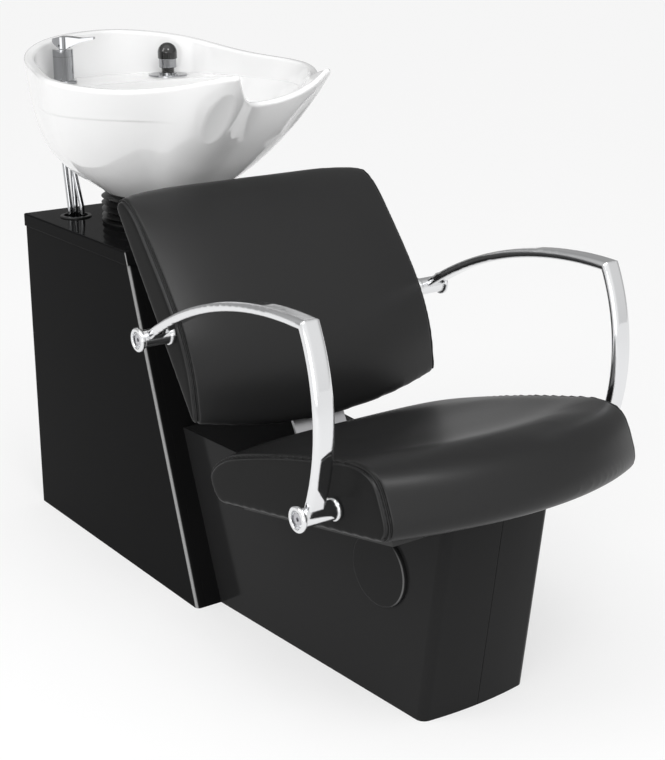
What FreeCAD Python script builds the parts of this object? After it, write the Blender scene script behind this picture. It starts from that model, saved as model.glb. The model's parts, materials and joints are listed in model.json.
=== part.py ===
import FreeCAD, Part
import os
from math import atan2, cos, degrees, radians, sin, sqrt, tan

V = FreeCAD.Vector

# Backwash unit: a salon chair on a plinth, with a tilting basin on a cabinet behind it.
# Millimetres, +Z up, the sitter faces -Y, the sitter's right is -X.
# The origin lies on the floor, half way along the footprint.

# Clearances
SEAT_FIT = 0.3          # between pieces that sit against each other on curved faces
RUN_FIT = 0.05          # radial, between a pin and the eye that turns on it
SLIDE_FIT = 0.6         # radial, between the spray handle and its socket
PAST = 1.0              # a cutter runs this far past the faces it opens

# Footprint
FOOTPRINT = 1140.0      # cabinet back to plinth front, on the floor
REAR_Y = FOOTPRINT / 2

# Rear cabinet
CABINET_WIDTH = 366.0
CABINET_HEIGHT = 604.0
CABINET_DEPTH_FLOOR = 614.0
CABINET_DEPTH_TOP = 404.0
BOARD = 18.0
CABINET_EDGE_ROUND = 9.0
LID_THICKNESS = 24.0
LID_OVERHANG = 3.0
LID_EDGE_ROUND = 3.0
PANEL_SCREW_RADIUS = 5.0
PANEL_SCREW_HEAD = 2.0
PANEL_SCREW_INSET = 30.0
SCREW_SLOT = 1.2
RAIL_NOTCH_GAP = 1.0    # front panel to the frame rails that pass under it

# Plinth
PLINTH_WIDTH_REAR = 268.0
PLINTH_WIDTH_FRONT = 208.0
PLINTH_WALL = 5.0
PLINTH_CORNER = 16.0
PLINTH_BOW = 8.0
PLINTH_LEAN = 0.135     # forward lean of the front, per height
PLINTH_SEAM = 1.2
DECK_HEIGHT = 300.0
DECK_FLAT_END = 690.0   # ahead of the cabinet back
DECK_RAMP_END = 735.0
DECK_THICKNESS = 6.0
CAP_RADIUS = 60.5
CAP_PROUD = 7.0
CAP_ROUND = 4.0
CAP_SPIGOT = 50.0
CAP_WALL = 3.0
CAP_LIP = 2.0           # spigot past the plinth wall
CAP_AHEAD = 1042.0
CAP_HEIGHT = 221.0

# Seat
SEAT_WIDTH = 484.0
SEAT_LENGTH = 462.0
SEAT_FRONT_THICKNESS = 108.0
SEAT_BOW = 68.0
SEAT_CROWN = 12.0       # middle of the seat above its side seams, at the rear
SEAT_DISH = 7.0         # middle of the seat below its front roll
SEAT_TILT = 11.0
SEAT_REAR_AHEAD = 772.0
SEAT_REAR_HEIGHT = 272.0
SEAT_BOARD = 15.0
SEAT_BOARD_INSET = 34.0
SEAT_BOARD_START = 40.0
RAIL_THICKNESS = 6.0
RAIL_WIDTH = 26.0
RAIL_START = 60.0
RAIL_END = 392.0
RAIL_STRAP_GAP = 4.0

# Backrest
BACK_WIDTH = 498.0
BACK_LENGTH = 404.0
BACK_THICKNESS = 62.0
BACK_BOW = 36.0
BACK_CROWN = 20.0
BACK_CORNER = 12.0      # drop of the top at its corners
BACK_RECLINE = 36.2
BACK_TOP_AHEAD = 488.0
BACK_TOP_HEIGHT = 714.0
BACK_BOARD = 12.0
BACK_BOARD_START = 12.0
BACK_BOARD_END = 388.0
STRAP_WIDTH = 104.0
STRAP_THICKNESS = 6.0
STRAP_BEND = 30.0
STRAP_UNDER_SEAT = 170.0
STRAP_HEEL = 2.0        # seat's rear end to the strap's lower bend
STRAP_KNEE = 368.0      # backrest's top to the strap's upper bend
STRAP_TOP = 141.0       # backrest's top to the strap's end

# Armrests
ARM_SPAN = 624.0        # over the outer sleeve ends
ARM_BAR_WIDTH = 32.0
ARM_BAR_INSET = 28.0    # sleeve end to the middle of the bar
ARM_BAR_THICKNESS = 15.0
ARM_BAR_ROUND = 6.5
ARM_REAR_AHEAD = 671.0
ARM_REAR_HEIGHT = 529.0
ARM_CROWN_AHEAD = 895.0
ARM_CROWN_HEIGHT = 630.0
ARM_CORNER_AHEAD = 1104.0
ARM_CORNER_HEIGHT = 650.0
ARM_KNEE_AHEAD = 1137.0
ARM_KNEE_HEIGHT = 525.0
ARM_FRONT_AHEAD = 1110.0
ARM_FRONT_HEIGHT = 376.0
SLEEVE_RADIUS = 15.0
SLEEVE_RING_RADIUS = 19.5
SLEEVE_RING = 7.0
SLEEVE_FOOT_RADIUS = 16.8
SLEEVE_RECESS_RADIUS = 13.5
SLEEVE_RECESS = 9.0
ARM_BOLT_RADIUS = 5.0
ARM_BOLT_HEAD_RADIUS = 9.0
ARM_BOLT_HEAD = 6.0
ARM_BOLT_SOCKET = 3.2
ARM_BOLT_GRIP = 55.0

# Basin
BASIN_AHEAD = 185.0
BASIN_RISE = 56.0       # lid up to the basin's underside
BASIN_DEPTH = 256.0
BASIN_HALF_WIDTH = 272.0
BASIN_REAR = 210.0      # basin axis to the rear rim
BASIN_FRONT = 460.0     # basin axis to the ears beside the neck
BASIN_WALL = 16.0
BASIN_FOOT = 92.0
BASIN_FLOOR = 22.0
BASIN_RIM_ROUND = 5.0
BASIN_SWEEP = 40.0      # how far the outside is drawn above the rim before the rim line is cut
BASIN_REAR_RISE = 26.0  # rim at the rear, above its middle height
BASIN_SIDE_DIP = 29.0   # rim at the sides, below its middle height
BASIN_PROW = 0.3        # fullness of the front slope, from foot to ears
DECK_DROP = 60.0        # rim down to the tap deck
TAP_DECK = 18.0
BOWL_REAR = 60.0
BOWL_LEDGE = 3.0        # step round the bowl at the tap deck
NECK_RADIUS = 92.0
NECK_DEPTH = 52.0
FOLD_ACROSS = 82.0      # middle of the hollow under an ear
FOLD_AHEAD = 379.0
FOLD_DROP = 74.0
FOLD_DEPTH = 6.0
FOLD_RADIUS = 62.0      # across the hollow
FOLD_SWEEP = 420.0
FOLD_ROUND = 10.0
FOLD_OUT = (-0.36, -0.61, -0.7)
FOLD_RUN = (0.16, 0.72, -0.67)
TAP_OUT = 120.0         # tap, from the middle
SPRAY_OUT = 104.0       # spray, from the middle
FITTING_AHEAD = 72.0
FITTING_HOLE = 17.0
POCKET_RADIUS = 29.0

# Drain
DRAIN_RADIUS = 22.0
DRAIN_WALL = 2.0
DRAIN_FLANGE = 33.0
DRAIN_FLANGE_THICKNESS = 4.0
DRAIN_THROAT = 12.0     # below the basin's underside
DRAIN_BORE = 16.0
DRAIN_NUT_RADIUS = 31.0
DRAIN_NUT = 10.0
STRAINER_THICKNESS = 2.5
STRAINER_HOLE = 2.2
STRAINER_KNOB = 4.0
TAIL_RADIUS = 20.0
TAIL_LENGTH = 46.0
WASTE_PIPE_AHEAD = 240.0
WASTE_PIPE_TOP = 320.0
WASTE_PIPE_BOTTOM = 60.0
WASTE_PIPE_RADIUS = 21.5
WASTE_SPIGOT = 60.0
WASTE_BEND = 60.0
WASTE_DROP = 110.0
WASTE_LEAD = 90.0
CLIP_WALL = 4.0
CLIP_TAB = 16.0
CLIP_INSET = 4.0        # clip's edges inside the tie tube's edges
PIPE_WALL = 2.0

# Tilt
PIVOT_DROP = 28.0       # basin underside down to the tilt axis
PIVOT_RADIUS = 6.0
LUG_OUTER = 50.0
LUG_THICKNESS = 6.0
LUG_EYE = 14.0
LUG_GAP = 1.0
BRACKET_WIDTH = 112.0
BRACKET_LENGTH = 92.0
BRACKET_THICKNESS = 6.0
STAND_THICKNESS = 6.0
STAND_LENGTH = 100.0
STAND_CHEEK = 80.0      # length of a cheek at its foot
STAND_PORT = 36.0       # round opening for the drain tail
PIN_HEAD_RADIUS = 9.0
PIN_HEAD = 4.0
PIN_END = 3.0           # pin past the inner lug
BELLOWS_RADIUS = 100.0
BELLOWS_VALLEY = 88.0
BELLOWS_WALL = 2.4
BELLOWS_CUFF = 78.0
BELLOWS_RIBS = 4
BELLOWS_BAND = 4.0      # plain band at each end of the ribs
STAND_SLOT_GAP = 5.0    # lid slot to the stand that passes through it

# Steel frame
TUBE = 30.0
TUBE_WALL = 2.0
RAIL_OFFSET = 85.0
TOP_PLATE = 8.0
TOP_PLATE_LENGTH = 120.0
FOOT_PLATE = 6.0
FOOT_PLATE_SIZE = 60.0
ANCHOR_RADIUS = 5.5
ANCHOR_OFFSET = 42.0
ANCHOR_REAR_AHEAD = 160.0
ANCHOR_FRONT_AHEAD = 480.0
TIE_HEIGHT = 240.0
FRAME_FRONT_AHEAD = 1080.0
FRAME_REAR_AHEAD = 28.0
CROSS_AHEAD = 566.0
POSTS_AHEAD = (832.0, 1062.0)

# Tap
TAP_RING_RADIUS = 24.0
TAP_RING = 6.0
TAP_RING_ROUND = 2.0
TAP_RADIUS = 19.0
TAP_HEIGHT = 44.0
TAP_CAP = 13.0
TAP_SHANK_LENGTH = 64.0
NUT_RADIUS = 25.0
NUT_THICKNESS = 12.0
LEVER_REACH = 62.0
LEVER_YAW = -45.0
LEVER_TIP_WIDTH = 13.0
LEVER_PIN_RADIUS = 2.0
LEVER_LUG = 8.0
LEVER_EYE = 6.0
LEVER_EYE_RISE = 8.0    # cap's top to the lever's pin
LEVER_GAP = 2.0         # cap's top to the lever
LEVER_RISE = 21.0       # lever's underside to its top
LEVER_SLOT_GAP = 0.5

# Hand spray
PLATE_RADIUS = 38.0
PLATE_THICKNESS = 3.0
PLATE_ROUND = 1.2
PLATE_SCREW_RADIUS = 3.5
PLATE_SCREW_OFFSET = 30.0
PLATE_SCREW = 2.0
SOCKET_RADIUS = 13.0
SOCKET_LENGTH = 74.0
SPRAY_NECK_RADIUS = 12.4
SPRAY_NECK = 9.0
SPRAY_COLLAR_RADIUS = 17.0
SPRAY_COLLAR = 18.0
SPRAY_COLLAR_ROUND = 1.5
SPRAY_DOME_RADIUS = 19.0
SPRAY_DOME = 30.0
SPRAY_HANDLE = 92.0

# Hoses and water inlets
HOSE_RADIUS = 5.0
HOSE_BORE = 4.0
HOSE_BEND = 40.0
HOSE_LEAD_BEND = 60.0
HOSE_DROP = 70.0        # straight run below the tap and below the spray
HOSE_ABOVE_LID = 20.0   # where a hose straightens to enter its grommet
HOSE_BELOW_LID = 30.0
LOOP_BEND = 90.0
LOOP_FORWARD = 26.0     # spray hose loop, ahead of the grommets
LOOP_START = 120.0
GROMMET_X = 117.0
GROMMET_AHEAD = 85.0
GROMMET_RADIUS = 26.0
GROMMET_BORE = 23.0
GROMMET_FLANGE = 30.0
GROMMET_RISE = 3.0
GROMMET_ROUND = 2.0
INLET_HEIGHT = 240.0
INLET_RADIUS = 10.45
INLET_AHEAD = 84.0
INLET_SPACING = 80.0
INLET_SHANK = 11.5      # plain part of a union, through the bracket
INLET_THREAD = 40.0
INLET_COLLAR_RADIUS = 16.5
INLET_COLLAR = 10.0
INLET_TAIL = 30.0
INLET_TIP_RADIUS = 7.0
INLET_TIP = 10.0
INLET_LEAD = 90.0
INLET_PLATE = 4.0
INLET_PLATE_MARGIN = 30.0
INLET_SHELF_MARGIN = 20.0

SIDES = {"right": -1, "left": 1}


def ahead(distance):
    """Y at a distance ahead of the cabinet back."""
    return REAR_Y - distance


LID_BOTTOM = CABINET_HEIGHT - LID_THICKNESS
BASIN_Y = ahead(BASIN_AHEAD)
BASIN_BOTTOM = CABINET_HEIGHT + BASIN_RISE
BASIN_RIM = BASIN_BOTTOM + BASIN_DEPTH
TAP_DECK_TOP = BASIN_RIM - DECK_DROP
PIVOT_Z = BASIN_BOTTOM - PIVOT_DROP
FITTING_Y = ahead(FITTING_AHEAD)
GROMMET_Y = ahead(GROMMET_AHEAD)
STAND_BASE = LID_BOTTOM - 2 * STAND_THICKNESS
TOP_PLATE_BOTTOM = STAND_BASE - TOP_PLATE
CABINET_SLANT = atan2(CABINET_DEPTH_FLOOR - CABINET_DEPTH_TOP, CABINET_HEIGHT)
DECK_UNDER_SEAT = -(SEAT_BOARD + RAIL_THICKNESS)
BASIN_TALL = BASIN_DEPTH + BASIN_SWEEP
DRAIN_END = BASIN_BOTTOM - DRAIN_THROAT
TAIL_END = DRAIN_END - TAIL_LENGTH
STAND_WIDTH = 2 * (LUG_OUTER + LUG_GAP + STAND_THICKNESS)
TAP_X = -TAP_OUT
SPRAY_X = SPRAY_OUT
TAP_TOP = TAP_DECK_TOP + TAP_RING + TAP_HEIGHT
CAP_BOTTOM = TAP_TOP + SEAT_FIT
CAP_TOP = CAP_BOTTOM + TAP_CAP
LEVER_AXIS = CAP_TOP + LEVER_EYE_RISE
SPRAY_BASE = TAP_DECK_TOP + 2 * PLATE_THICKNESS
SPRAY_FOOT = SPRAY_BASE + SEAT_FIT - SPRAY_HANDLE
INLET_TOP = INLET_HEIGHT + INLET_TAIL + INLET_TIP


def box(x0, x1, y0, y1, z0, z1):
    return Part.makeBox(x1 - x0, y1 - y0, z1 - z0, V(x0, y0, z0))


def rod(radius, start, end):
    return Part.makeCylinder(radius, (end - start).Length, start, end - start)


def disc(radius, x, y, z0, z1):
    return rod(radius, V(x, y, z0), V(x, y, z1))


def drill(radius, x, y, z0, z1):
    """A cutter for an upright hole."""
    return disc(radius, x, y, z0 - PAST, z1 + PAST)


def rod_x(radius, x0, x1, y, z):
    return rod(radius, V(x0, y, z), V(x1, y, z))


def rounded_top(shape, radius):
    """A round piece with its top rim rounded."""
    rim = [e for e in shape.Edges if len(e.Vertexes) == 1 and e.CenterOfMass.z > shape.BoundBox.ZMax - 0.1]
    return shape.makeFillet(radius, rim)


def profile_x(points, x0, x1):
    """A side profile of (y, z) points, drawn out from x0 to x1."""
    corners = [V(x0, y, z) for y, z in points]
    face = Part.Face(Part.makePolygon(corners + corners[:1]))
    return face.extrude(V(x1 - x0, 0, 0))


def mirror_x(shape):
    return shape.mirror(V(0, 0, 0), V(1, 0, 0))


def sided(shape, sign):
    """A piece drawn on the right side, put on the side asked for."""
    return shape if sign < 0 else mirror_x(shape)


def fuse(shapes):
    return shapes[0].multiFuse(shapes[1:]).removeSplitter()


def save(shape, node):
    shape.exportStep("parts/" + node + ".step")


def cabinet_front(z):
    """Y of the cabinet's slanted front at a height."""
    return ahead(CABINET_DEPTH_FLOOR + (CABINET_DEPTH_TOP - CABINET_DEPTH_FLOOR) * z / CABINET_HEIGHT)


def cabinet_side(sign):
    outline = [(REAR_Y, 0), (cabinet_front(0), 0),
               (cabinet_front(LID_BOTTOM), LID_BOTTOM), (REAR_Y, LID_BOTTOM)]
    outer = CABINET_WIDTH / 2
    panel = profile_x(outline, -outer, BOARD - outer)
    front = [e for e in panel.Edges
             if abs(e.CenterOfMass.x + outer) < 0.1
             and abs(e.CenterOfMass.y - cabinet_front(LID_BOTTOM / 2)) < 0.1]
    return sided(panel.makeFillet(CABINET_EDGE_ROUND, front), sign)


def cabinet_front_panel():
    depth = BOARD / cos(CABINET_SLANT)
    top = cabinet_front(LID_BOTTOM)
    inner = CABINET_WIDTH / 2 - BOARD
    outline = [(cabinet_front(0), 0), (cabinet_front(0) + depth, 0),
               (top + depth, LID_BOTTOM), (top, LID_BOTTOM)]
    panel = profile_x(outline, -inner, inner)
    for sign in SIDES.values():
        x = sign * RAIL_OFFSET
        half = TUBE / 2 + RAIL_NOTCH_GAP
        panel = panel.cut(box(x - half, x + half, cabinet_front(0) - PAST, top, 0, TUBE + RAIL_NOTCH_GAP))
    return panel


def panel_screw_places():
    inner = CABINET_WIDTH / 2 - BOARD - PANEL_SCREW_INSET
    heights = (PANEL_SCREW_INSET, LID_BOTTOM - PANEL_SCREW_INSET)
    return [(x, z) for x in (-inner, inner) for z in heights]


def access_panel():
    inner = CABINET_WIDTH / 2 - BOARD - SEAT_FIT
    return box(-inner, inner, REAR_Y - BOARD, REAR_Y, 0, LID_BOTTOM - SEAT_FIT)


def panel_screws():
    heads = []
    for x, z in panel_screw_places():
        head = rod(PANEL_SCREW_RADIUS, V(x, REAR_Y, z), V(x, REAR_Y + PANEL_SCREW_HEAD, z))
        slot = box(x - PANEL_SCREW_RADIUS, x + PANEL_SCREW_RADIUS, REAR_Y + PANEL_SCREW_HEAD / 2,
                   REAR_Y + PANEL_SCREW_HEAD, z - SCREW_SLOT / 2, z + SCREW_SLOT / 2)
        heads.append(head.cut(slot))
    return Part.makeCompound(heads)


def cabinet_lid():
    back = REAR_Y + LID_OVERHANG
    outline = [(back, LID_BOTTOM), (cabinet_front(LID_BOTTOM) - LID_OVERHANG, LID_BOTTOM),
               (cabinet_front(CABINET_HEIGHT) - LID_OVERHANG, CABINET_HEIGHT), (back, CABINET_HEIGHT)]
    half = CABINET_WIDTH / 2 + LID_OVERHANG
    lid = profile_x(outline, -half, half)
    rim = [e for e in lid.Edges if e.BoundBox.ZMax > CABINET_HEIGHT - LID_EDGE_ROUND]
    lid = lid.makeFillet(LID_EDGE_ROUND, rim)
    half_x = STAND_WIDTH / 2 + STAND_SLOT_GAP
    half_y = STAND_CHEEK / 2 + STAND_SLOT_GAP
    slot = box(-half_x, half_x, BASIN_Y - half_y, BASIN_Y + half_y, LID_BOTTOM - PAST, CABINET_HEIGHT + PAST)
    lid = lid.cut(slot)
    for sign in SIDES.values():
        x = sign * GROMMET_X
        lid = lid.cut(drill(GROMMET_RADIUS + SEAT_FIT, x, GROMMET_Y, LID_BOTTOM, CABINET_HEIGHT))
    return lid


def hose_grommet(sign):
    x = sign * GROMMET_X
    top = CABINET_HEIGHT + GROMMET_RISE
    sleeve = disc(GROMMET_RADIUS, x, GROMMET_Y, LID_BOTTOM, top)
    flange = rounded_top(disc(GROMMET_FLANGE, x, GROMMET_Y, CABINET_HEIGHT, top), GROMMET_ROUND)
    return fuse([sleeve, flange]).cut(drill(GROMMET_BORE, x, GROMMET_Y, LID_BOTTOM, top))


# Seat frame: s runs forward along the tilted seat from its rear end, h stands square to it.
def seat_point(s, h):
    tilt = radians(SEAT_TILT)
    y = ahead(SEAT_REAR_AHEAD) - s * cos(tilt) + h * sin(tilt)
    return y, SEAT_REAR_HEIGHT + s * sin(tilt) + h * cos(tilt)


# Back frame: a runs down the rear of the backrest from its top, n stands square to it, forward.
def back_point(a, n):
    lean = radians(BACK_RECLINE)
    y = ahead(BACK_TOP_AHEAD) - a * sin(lean) - n * cos(lean)
    return y, BACK_TOP_HEIGHT - a * cos(lean) + n * sin(lean)


def deck_line(drop):
    """Side line of the plinth's top, lowered by a drop."""
    under = [seat_point(s, DECK_UNDER_SEAT) for s in (0, SEAT_LENGTH)]
    slope = (under[1][1] - under[0][1]) / (under[1][0] - under[0][0])
    ramp_z = under[0][1] + slope * (ahead(DECK_RAMP_END) - under[0][0])
    line = [(cabinet_front(DECK_HEIGHT), DECK_HEIGHT), (ahead(DECK_FLAT_END), DECK_HEIGHT),
            (ahead(DECK_RAMP_END), ramp_z), under[1]]
    return [(y, z - drop) for y, z in line]


def plinth_half_width(y):
    start = cabinet_front(0)
    run = start - ahead(FOOTPRINT)
    return (PLINTH_WIDTH_REAR + (PLINTH_WIDTH_FRONT - PLINTH_WIDTH_REAR) * (start - y) / run) / 2


def plinth_outline(inset, z):
    rear = cabinet_front(z)
    front = ahead(FOOTPRINT) - PLINTH_LEAN * z + inset
    wide = plinth_half_width(rear) - inset
    narrow = plinth_half_width(front) - inset
    nose = V(0, front - PLINTH_BOW, z)
    a, b = V(-wide, rear, z), V(wide, rear, z)
    c, d = V(narrow, front, z), V(-narrow, front, z)
    front_edge = Part.Arc(c, nose, d).toShape()
    return Part.Wire([Part.makeLine(a, b), Part.makeLine(b, c), front_edge, Part.makeLine(d, a)])


def plinth_block(inset):
    """The plinth as a solid, its walls moved inwards, cut off along the deck line."""
    top = 1.5 * DECK_HEIGHT
    block = Part.makeLoft([plinth_outline(inset, 0), plinth_outline(inset, top)], True, True)
    corners = [e for e in block.Edges if e.BoundBox.ZLength > top / 2 and e.CenterOfMass.y < ahead(CAP_AHEAD)]
    return block.makeFillet(PLINTH_CORNER - inset, corners)


def under_deck(drop):
    """Everything below the deck line, lowered by a drop."""
    line = deck_line(drop)
    wide = PLINTH_WIDTH_REAR
    below = [(line[-1][0], -PAST), (cabinet_front(-PAST), -PAST)]
    return profile_x(line + below, -wide, wide)


def cap_place():
    """Where the right-hand side cap's axis meets the plinth's side, and the outward direction."""
    y = ahead(CAP_AHEAD)
    x = -plinth_half_width(y)
    taper = plinth_half_width(y + 1) - plinth_half_width(y)
    return V(x, y, CAP_HEIGHT), V(-1, -taper, 0).normalize()


def plinth_half(sign):
    shell = plinth_block(0).common(under_deck(0)).cut(plinth_block(PLINTH_WALL))
    start, out = cap_place()
    reach = out * CAP_RADIUS / 2
    shell = shell.cut(rod(CAP_SPIGOT + SEAT_FIT, start - reach, start + reach))
    wide = PLINTH_WIDTH_REAR
    keep = box(-wide, -PLINTH_SEAM / 2, ahead(FOOTPRINT) - wide, REAR_Y, -PAST, DECK_HEIGHT + wide)
    return sided(shell.common(keep), sign)


def plinth_deck():
    inner = plinth_block(PLINTH_WALL + SEAT_FIT)
    return inner.common(under_deck(0)).cut(under_deck(DECK_THICKNESS))


def side_cap(sign):
    start, out = cap_place()
    cap = rod(CAP_RADIUS, start + out * SEAT_FIT, start + out * CAP_PROUD)
    rim = [e for e in cap.Edges if e.CenterOfMass.x < (start + out * (CAP_PROUD - 0.1)).x]
    cap = cap.makeFillet(CAP_ROUND, rim[:1])
    depth = PLINTH_WALL + CAP_LIP
    spigot = rod(CAP_SPIGOT, start - out * depth, start + out * CAP_PROUD / 2)
    hollow = rod(CAP_SPIGOT - CAP_WALL, start - out * (depth + PAST), start)
    return sided(fuse([cap, spigot]).cut(hollow), sign)


def lofted_pad(profiles, stations, to_point):
    """A cushion through side profiles (flat underside first and last), set at stations along X."""
    wires = []
    for x, points in zip(stations, profiles):
        placed = [V(x, *to_point(p, q)) for p, q in points]
        skin = Part.BSplineCurve()
        skin.interpolate(placed)
        wires.append(Part.Wire([skin.toShape(), Part.makeLine(placed[-1], placed[0])]))
    return Part.makeLoft(wires, True, False)


PAD_STATIONS = (-1.0, -0.82, -0.45, 0.0, 0.45, 0.82, 1.0)


def seat_profile(across):
    """Side profile of the seat cushion at a fraction of its half width."""
    length = SEAT_LENGTH + SEAT_BOW * (1 - across ** 2)
    thick = SEAT_FRONT_THICKNESS
    crown = SEAT_CROWN * (1 - across ** 4)
    dish = SEAT_DISH * (1 - across ** 4)
    low = SEAT_FIT
    roll = [(length - 0.15 * thick, low), (length, 0.15 * thick), (length - 0.02 * thick, 0.45 * thick),
            (length - 0.17 * thick, 0.83 * thick), (length - 0.5 * thick, 0.98 * thick)]
    top = [(length - 1.1 * thick, 0.99 * thick - 0.7 * dish), (0.6 * length, 0.96 * thick - dish),
           (0.42 * length, 0.9 * thick - 0.4 * dish), (0.21 * length, 0.79 * thick + crown),
           (0.07 * length, 0.64 * thick + 0.8 * crown)]
    heel = [(0, 0.37 * thick), (0.08 * thick, 0.12 * thick), (0.34 * thick, low)]
    return roll + top + heel


def back_profile(across):
    """Side profile of the backrest cushion at a fraction of its half width."""
    side = BACK_THICKNESS
    thick = side + BACK_CROWN * (1 - across ** 4)
    length = BACK_LENGTH + BACK_BOW * (1 - across ** 2)
    drop = BACK_CORNER * across ** 6
    low = SEAT_FIT
    top = [(drop + 0.1 * side, low), (drop - 0.05 * side, 0.2 * side), (drop, 0.46 * side),
           (drop + 0.23 * side, 0.65 * side)]
    front = [(0.25 * length, 0.9 * thick), (0.5 * length, thick), (0.7 * length, 0.94 * thick),
             (0.86 * length, 0.66 * thick), (0.965 * length, 0.32 * thick)]
    return top + front + [(length, 0.14 * thick), (length - 0.13 * side, low)]


def arm_places():
    """Where each cross sleeve sits: Y, Z and the half width of the cushion it meets."""
    rear = (ahead(ARM_REAR_AHEAD), ARM_REAR_HEIGHT, BACK_WIDTH / 2)
    front = (ahead(ARM_FRONT_AHEAD), ARM_FRONT_HEIGHT, SEAT_WIDTH / 2)
    return rear, front


def bolt_bores(place):
    y, z, half = place
    reach = half - ARM_BOLT_GRIP - PAST
    radius = ARM_BOLT_RADIUS + SEAT_FIT
    bores = [rod_x(radius, sign * reach, sign * (half + PAST), y, z) for sign in SIDES.values()]
    return Part.makeCompound(bores)


def seat_cushion():
    stations = [f * SEAT_WIDTH / 2 for f in PAD_STATIONS]
    pad = lofted_pad([seat_profile(f) for f in PAD_STATIONS], stations, seat_point)
    return pad.cut(bolt_bores(arm_places()[1]))


def backrest_cushion():
    stations = [f * BACK_WIDTH / 2 for f in PAD_STATIONS]
    pad = lofted_pad([back_profile(f) for f in PAD_STATIONS], stations, back_point)
    return pad.cut(bolt_bores(arm_places()[0]))


def tilted_slab(to_point, p0, p1, q0, q1, half):
    return profile_x([to_point(p0, q0), to_point(p1, q0), to_point(p1, q1), to_point(p0, q1)], -half, half)


def seat_board():
    half = SEAT_WIDTH / 2 - SEAT_BOARD_INSET
    return tilted_slab(seat_point, SEAT_BOARD_START, SEAT_LENGTH - SEAT_BOARD_INSET, -SEAT_BOARD, 0, half)


def seat_rails():
    inner = STRAP_WIDTH / 2 + RAIL_STRAP_GAP
    rail = tilted_slab(seat_point, RAIL_START, RAIL_END, DECK_UNDER_SEAT, -SEAT_BOARD, inner + RAIL_WIDTH)
    between = tilted_slab(seat_point, 0, SEAT_LENGTH, DECK_UNDER_SEAT, -SEAT_BOARD, inner)
    return rail.cut(between)


def back_board():
    half = BACK_WIDTH / 2 - SEAT_BOARD_INSET
    return tilted_slab(back_point, BACK_BOARD_START, BACK_BOARD_END, -BACK_BOARD, 0, half)


def bent_strip(points, radius, thickness, half_width):
    """A flat strip bent along (y, z) points, round bends of one inner-line radius."""
    edges = []
    start = V(0, *points[0])
    for before, here, after in zip(points, points[1:], points[2:]):
        p, q, r = V(0, *before), V(0, *here), V(0, *after)
        u, w = (p - q).normalize(), (r - q).normalize()
        half = u.getAngle(w) / 2
        set_back = radius / tan(half)
        middle = q + (u + w).normalize() * (radius / sin(half) - radius)
        edges.append(Part.makeLine(start, q + u * set_back))
        edges.append(Part.Arc(q + u * set_back, middle, q + w * set_back).toShape())
        start = q + w * set_back
    edges.append(Part.makeLine(start, V(0, *points[-1])))
    path = Part.Wire(edges)
    along = (V(0, *points[1]) - V(0, *points[0])).normalize()
    side = V(0, along.z, -along.y) * (thickness / 2)
    first = V(0, *points[0])
    wide = V(half_width, 0, 0)
    corners = [first - side - wide, first - side + wide, first + side + wide, first + side - wide]
    section = Part.Wire(Part.makePolygon(corners + corners[:1]))
    return path.makePipeShell([section], True, False)


def back_strap():
    mid = STRAP_THICKNESS / 2
    under = -SEAT_BOARD - mid
    behind = -BACK_BOARD - mid
    points = [seat_point(STRAP_UNDER_SEAT, under), seat_point(STRAP_HEEL, under),
              back_point(STRAP_KNEE, behind), back_point(STRAP_TOP, behind)]
    return bent_strip(points, STRAP_BEND, STRAP_THICKNESS, STRAP_WIDTH / 2)


def circle_through(a, b, c):
    """Centre (y, z) and radius of the circle through three (y, z) points."""
    (ay, az), (by, bz), (cy, cz) = a, b, c
    d = 2 * (ay * (bz - cz) + by * (cz - az) + cy * (az - bz))
    a2, b2, c2 = ay ** 2 + az ** 2, by ** 2 + bz ** 2, cy ** 2 + cz ** 2
    y = (a2 * (bz - cz) + b2 * (cz - az) + c2 * (az - bz)) / d
    z = (a2 * (cy - by) + b2 * (ay - cy) + c2 * (by - ay)) / d
    return (y, z), sqrt((ay - y) ** 2 + (az - z) ** 2)


def rounded_section(width, thickness, radius, centre, up):
    """A rounded rectangle, its width along X and its thickness along a direction."""
    wide = V(width / 2, 0, 0)
    tall = up * (thickness / 2)
    corners = [centre - wide - tall, centre + wide - tall, centre + wide + tall, centre - wide + tall]
    edges = []
    ends = []
    for i, corner in enumerate(corners):
        u = (corners[i - 1] - corner).normalize()
        w = (corners[(i + 1) % 4] - corner).normalize()
        middle = corner + (u + w) * (radius * (1 - sqrt(0.5)))
        ends.append((corner + u * radius, middle, corner + w * radius))
    for i, (first, middle, last) in enumerate(ends):
        edges.append(Part.Arc(first, middle, last).toShape())
        edges.append(Part.makeLine(last, ends[(i + 1) % 4][0]))
    return Part.Face(Part.Wire(edges))


def curved_bar(start, middle, end, past, x):
    """A bar of the arm's section along the arc through three (y, z) points, run on past its end."""
    (cy, cz), radius = circle_through(start, middle, end)
    centre = V(x, cy, cz)
    a, b = V(x, *start) - centre, V(x, *end) - centre
    sweep = degrees(a.getAngle(b)) + degrees(past / radius)
    if a.cross(b).x < 0:
        sweep = -sweep
    section = rounded_section(ARM_BAR_WIDTH, ARM_BAR_THICKNESS, ARM_BAR_ROUND, V(x, *start), a.normalize())
    return section.revolve(centre, V(1, 0, 0), sweep)


def half_space(point, normal, size):
    """A large block on the side of a plane that its normal points to."""
    block = Part.makeBox(size, size, size, V(-size / 2, -size / 2, 0))
    block.Placement = FreeCAD.Placement(point, FreeCAD.Rotation(V(0, 0, 1), normal)).multiply(block.Placement)
    return block


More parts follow.
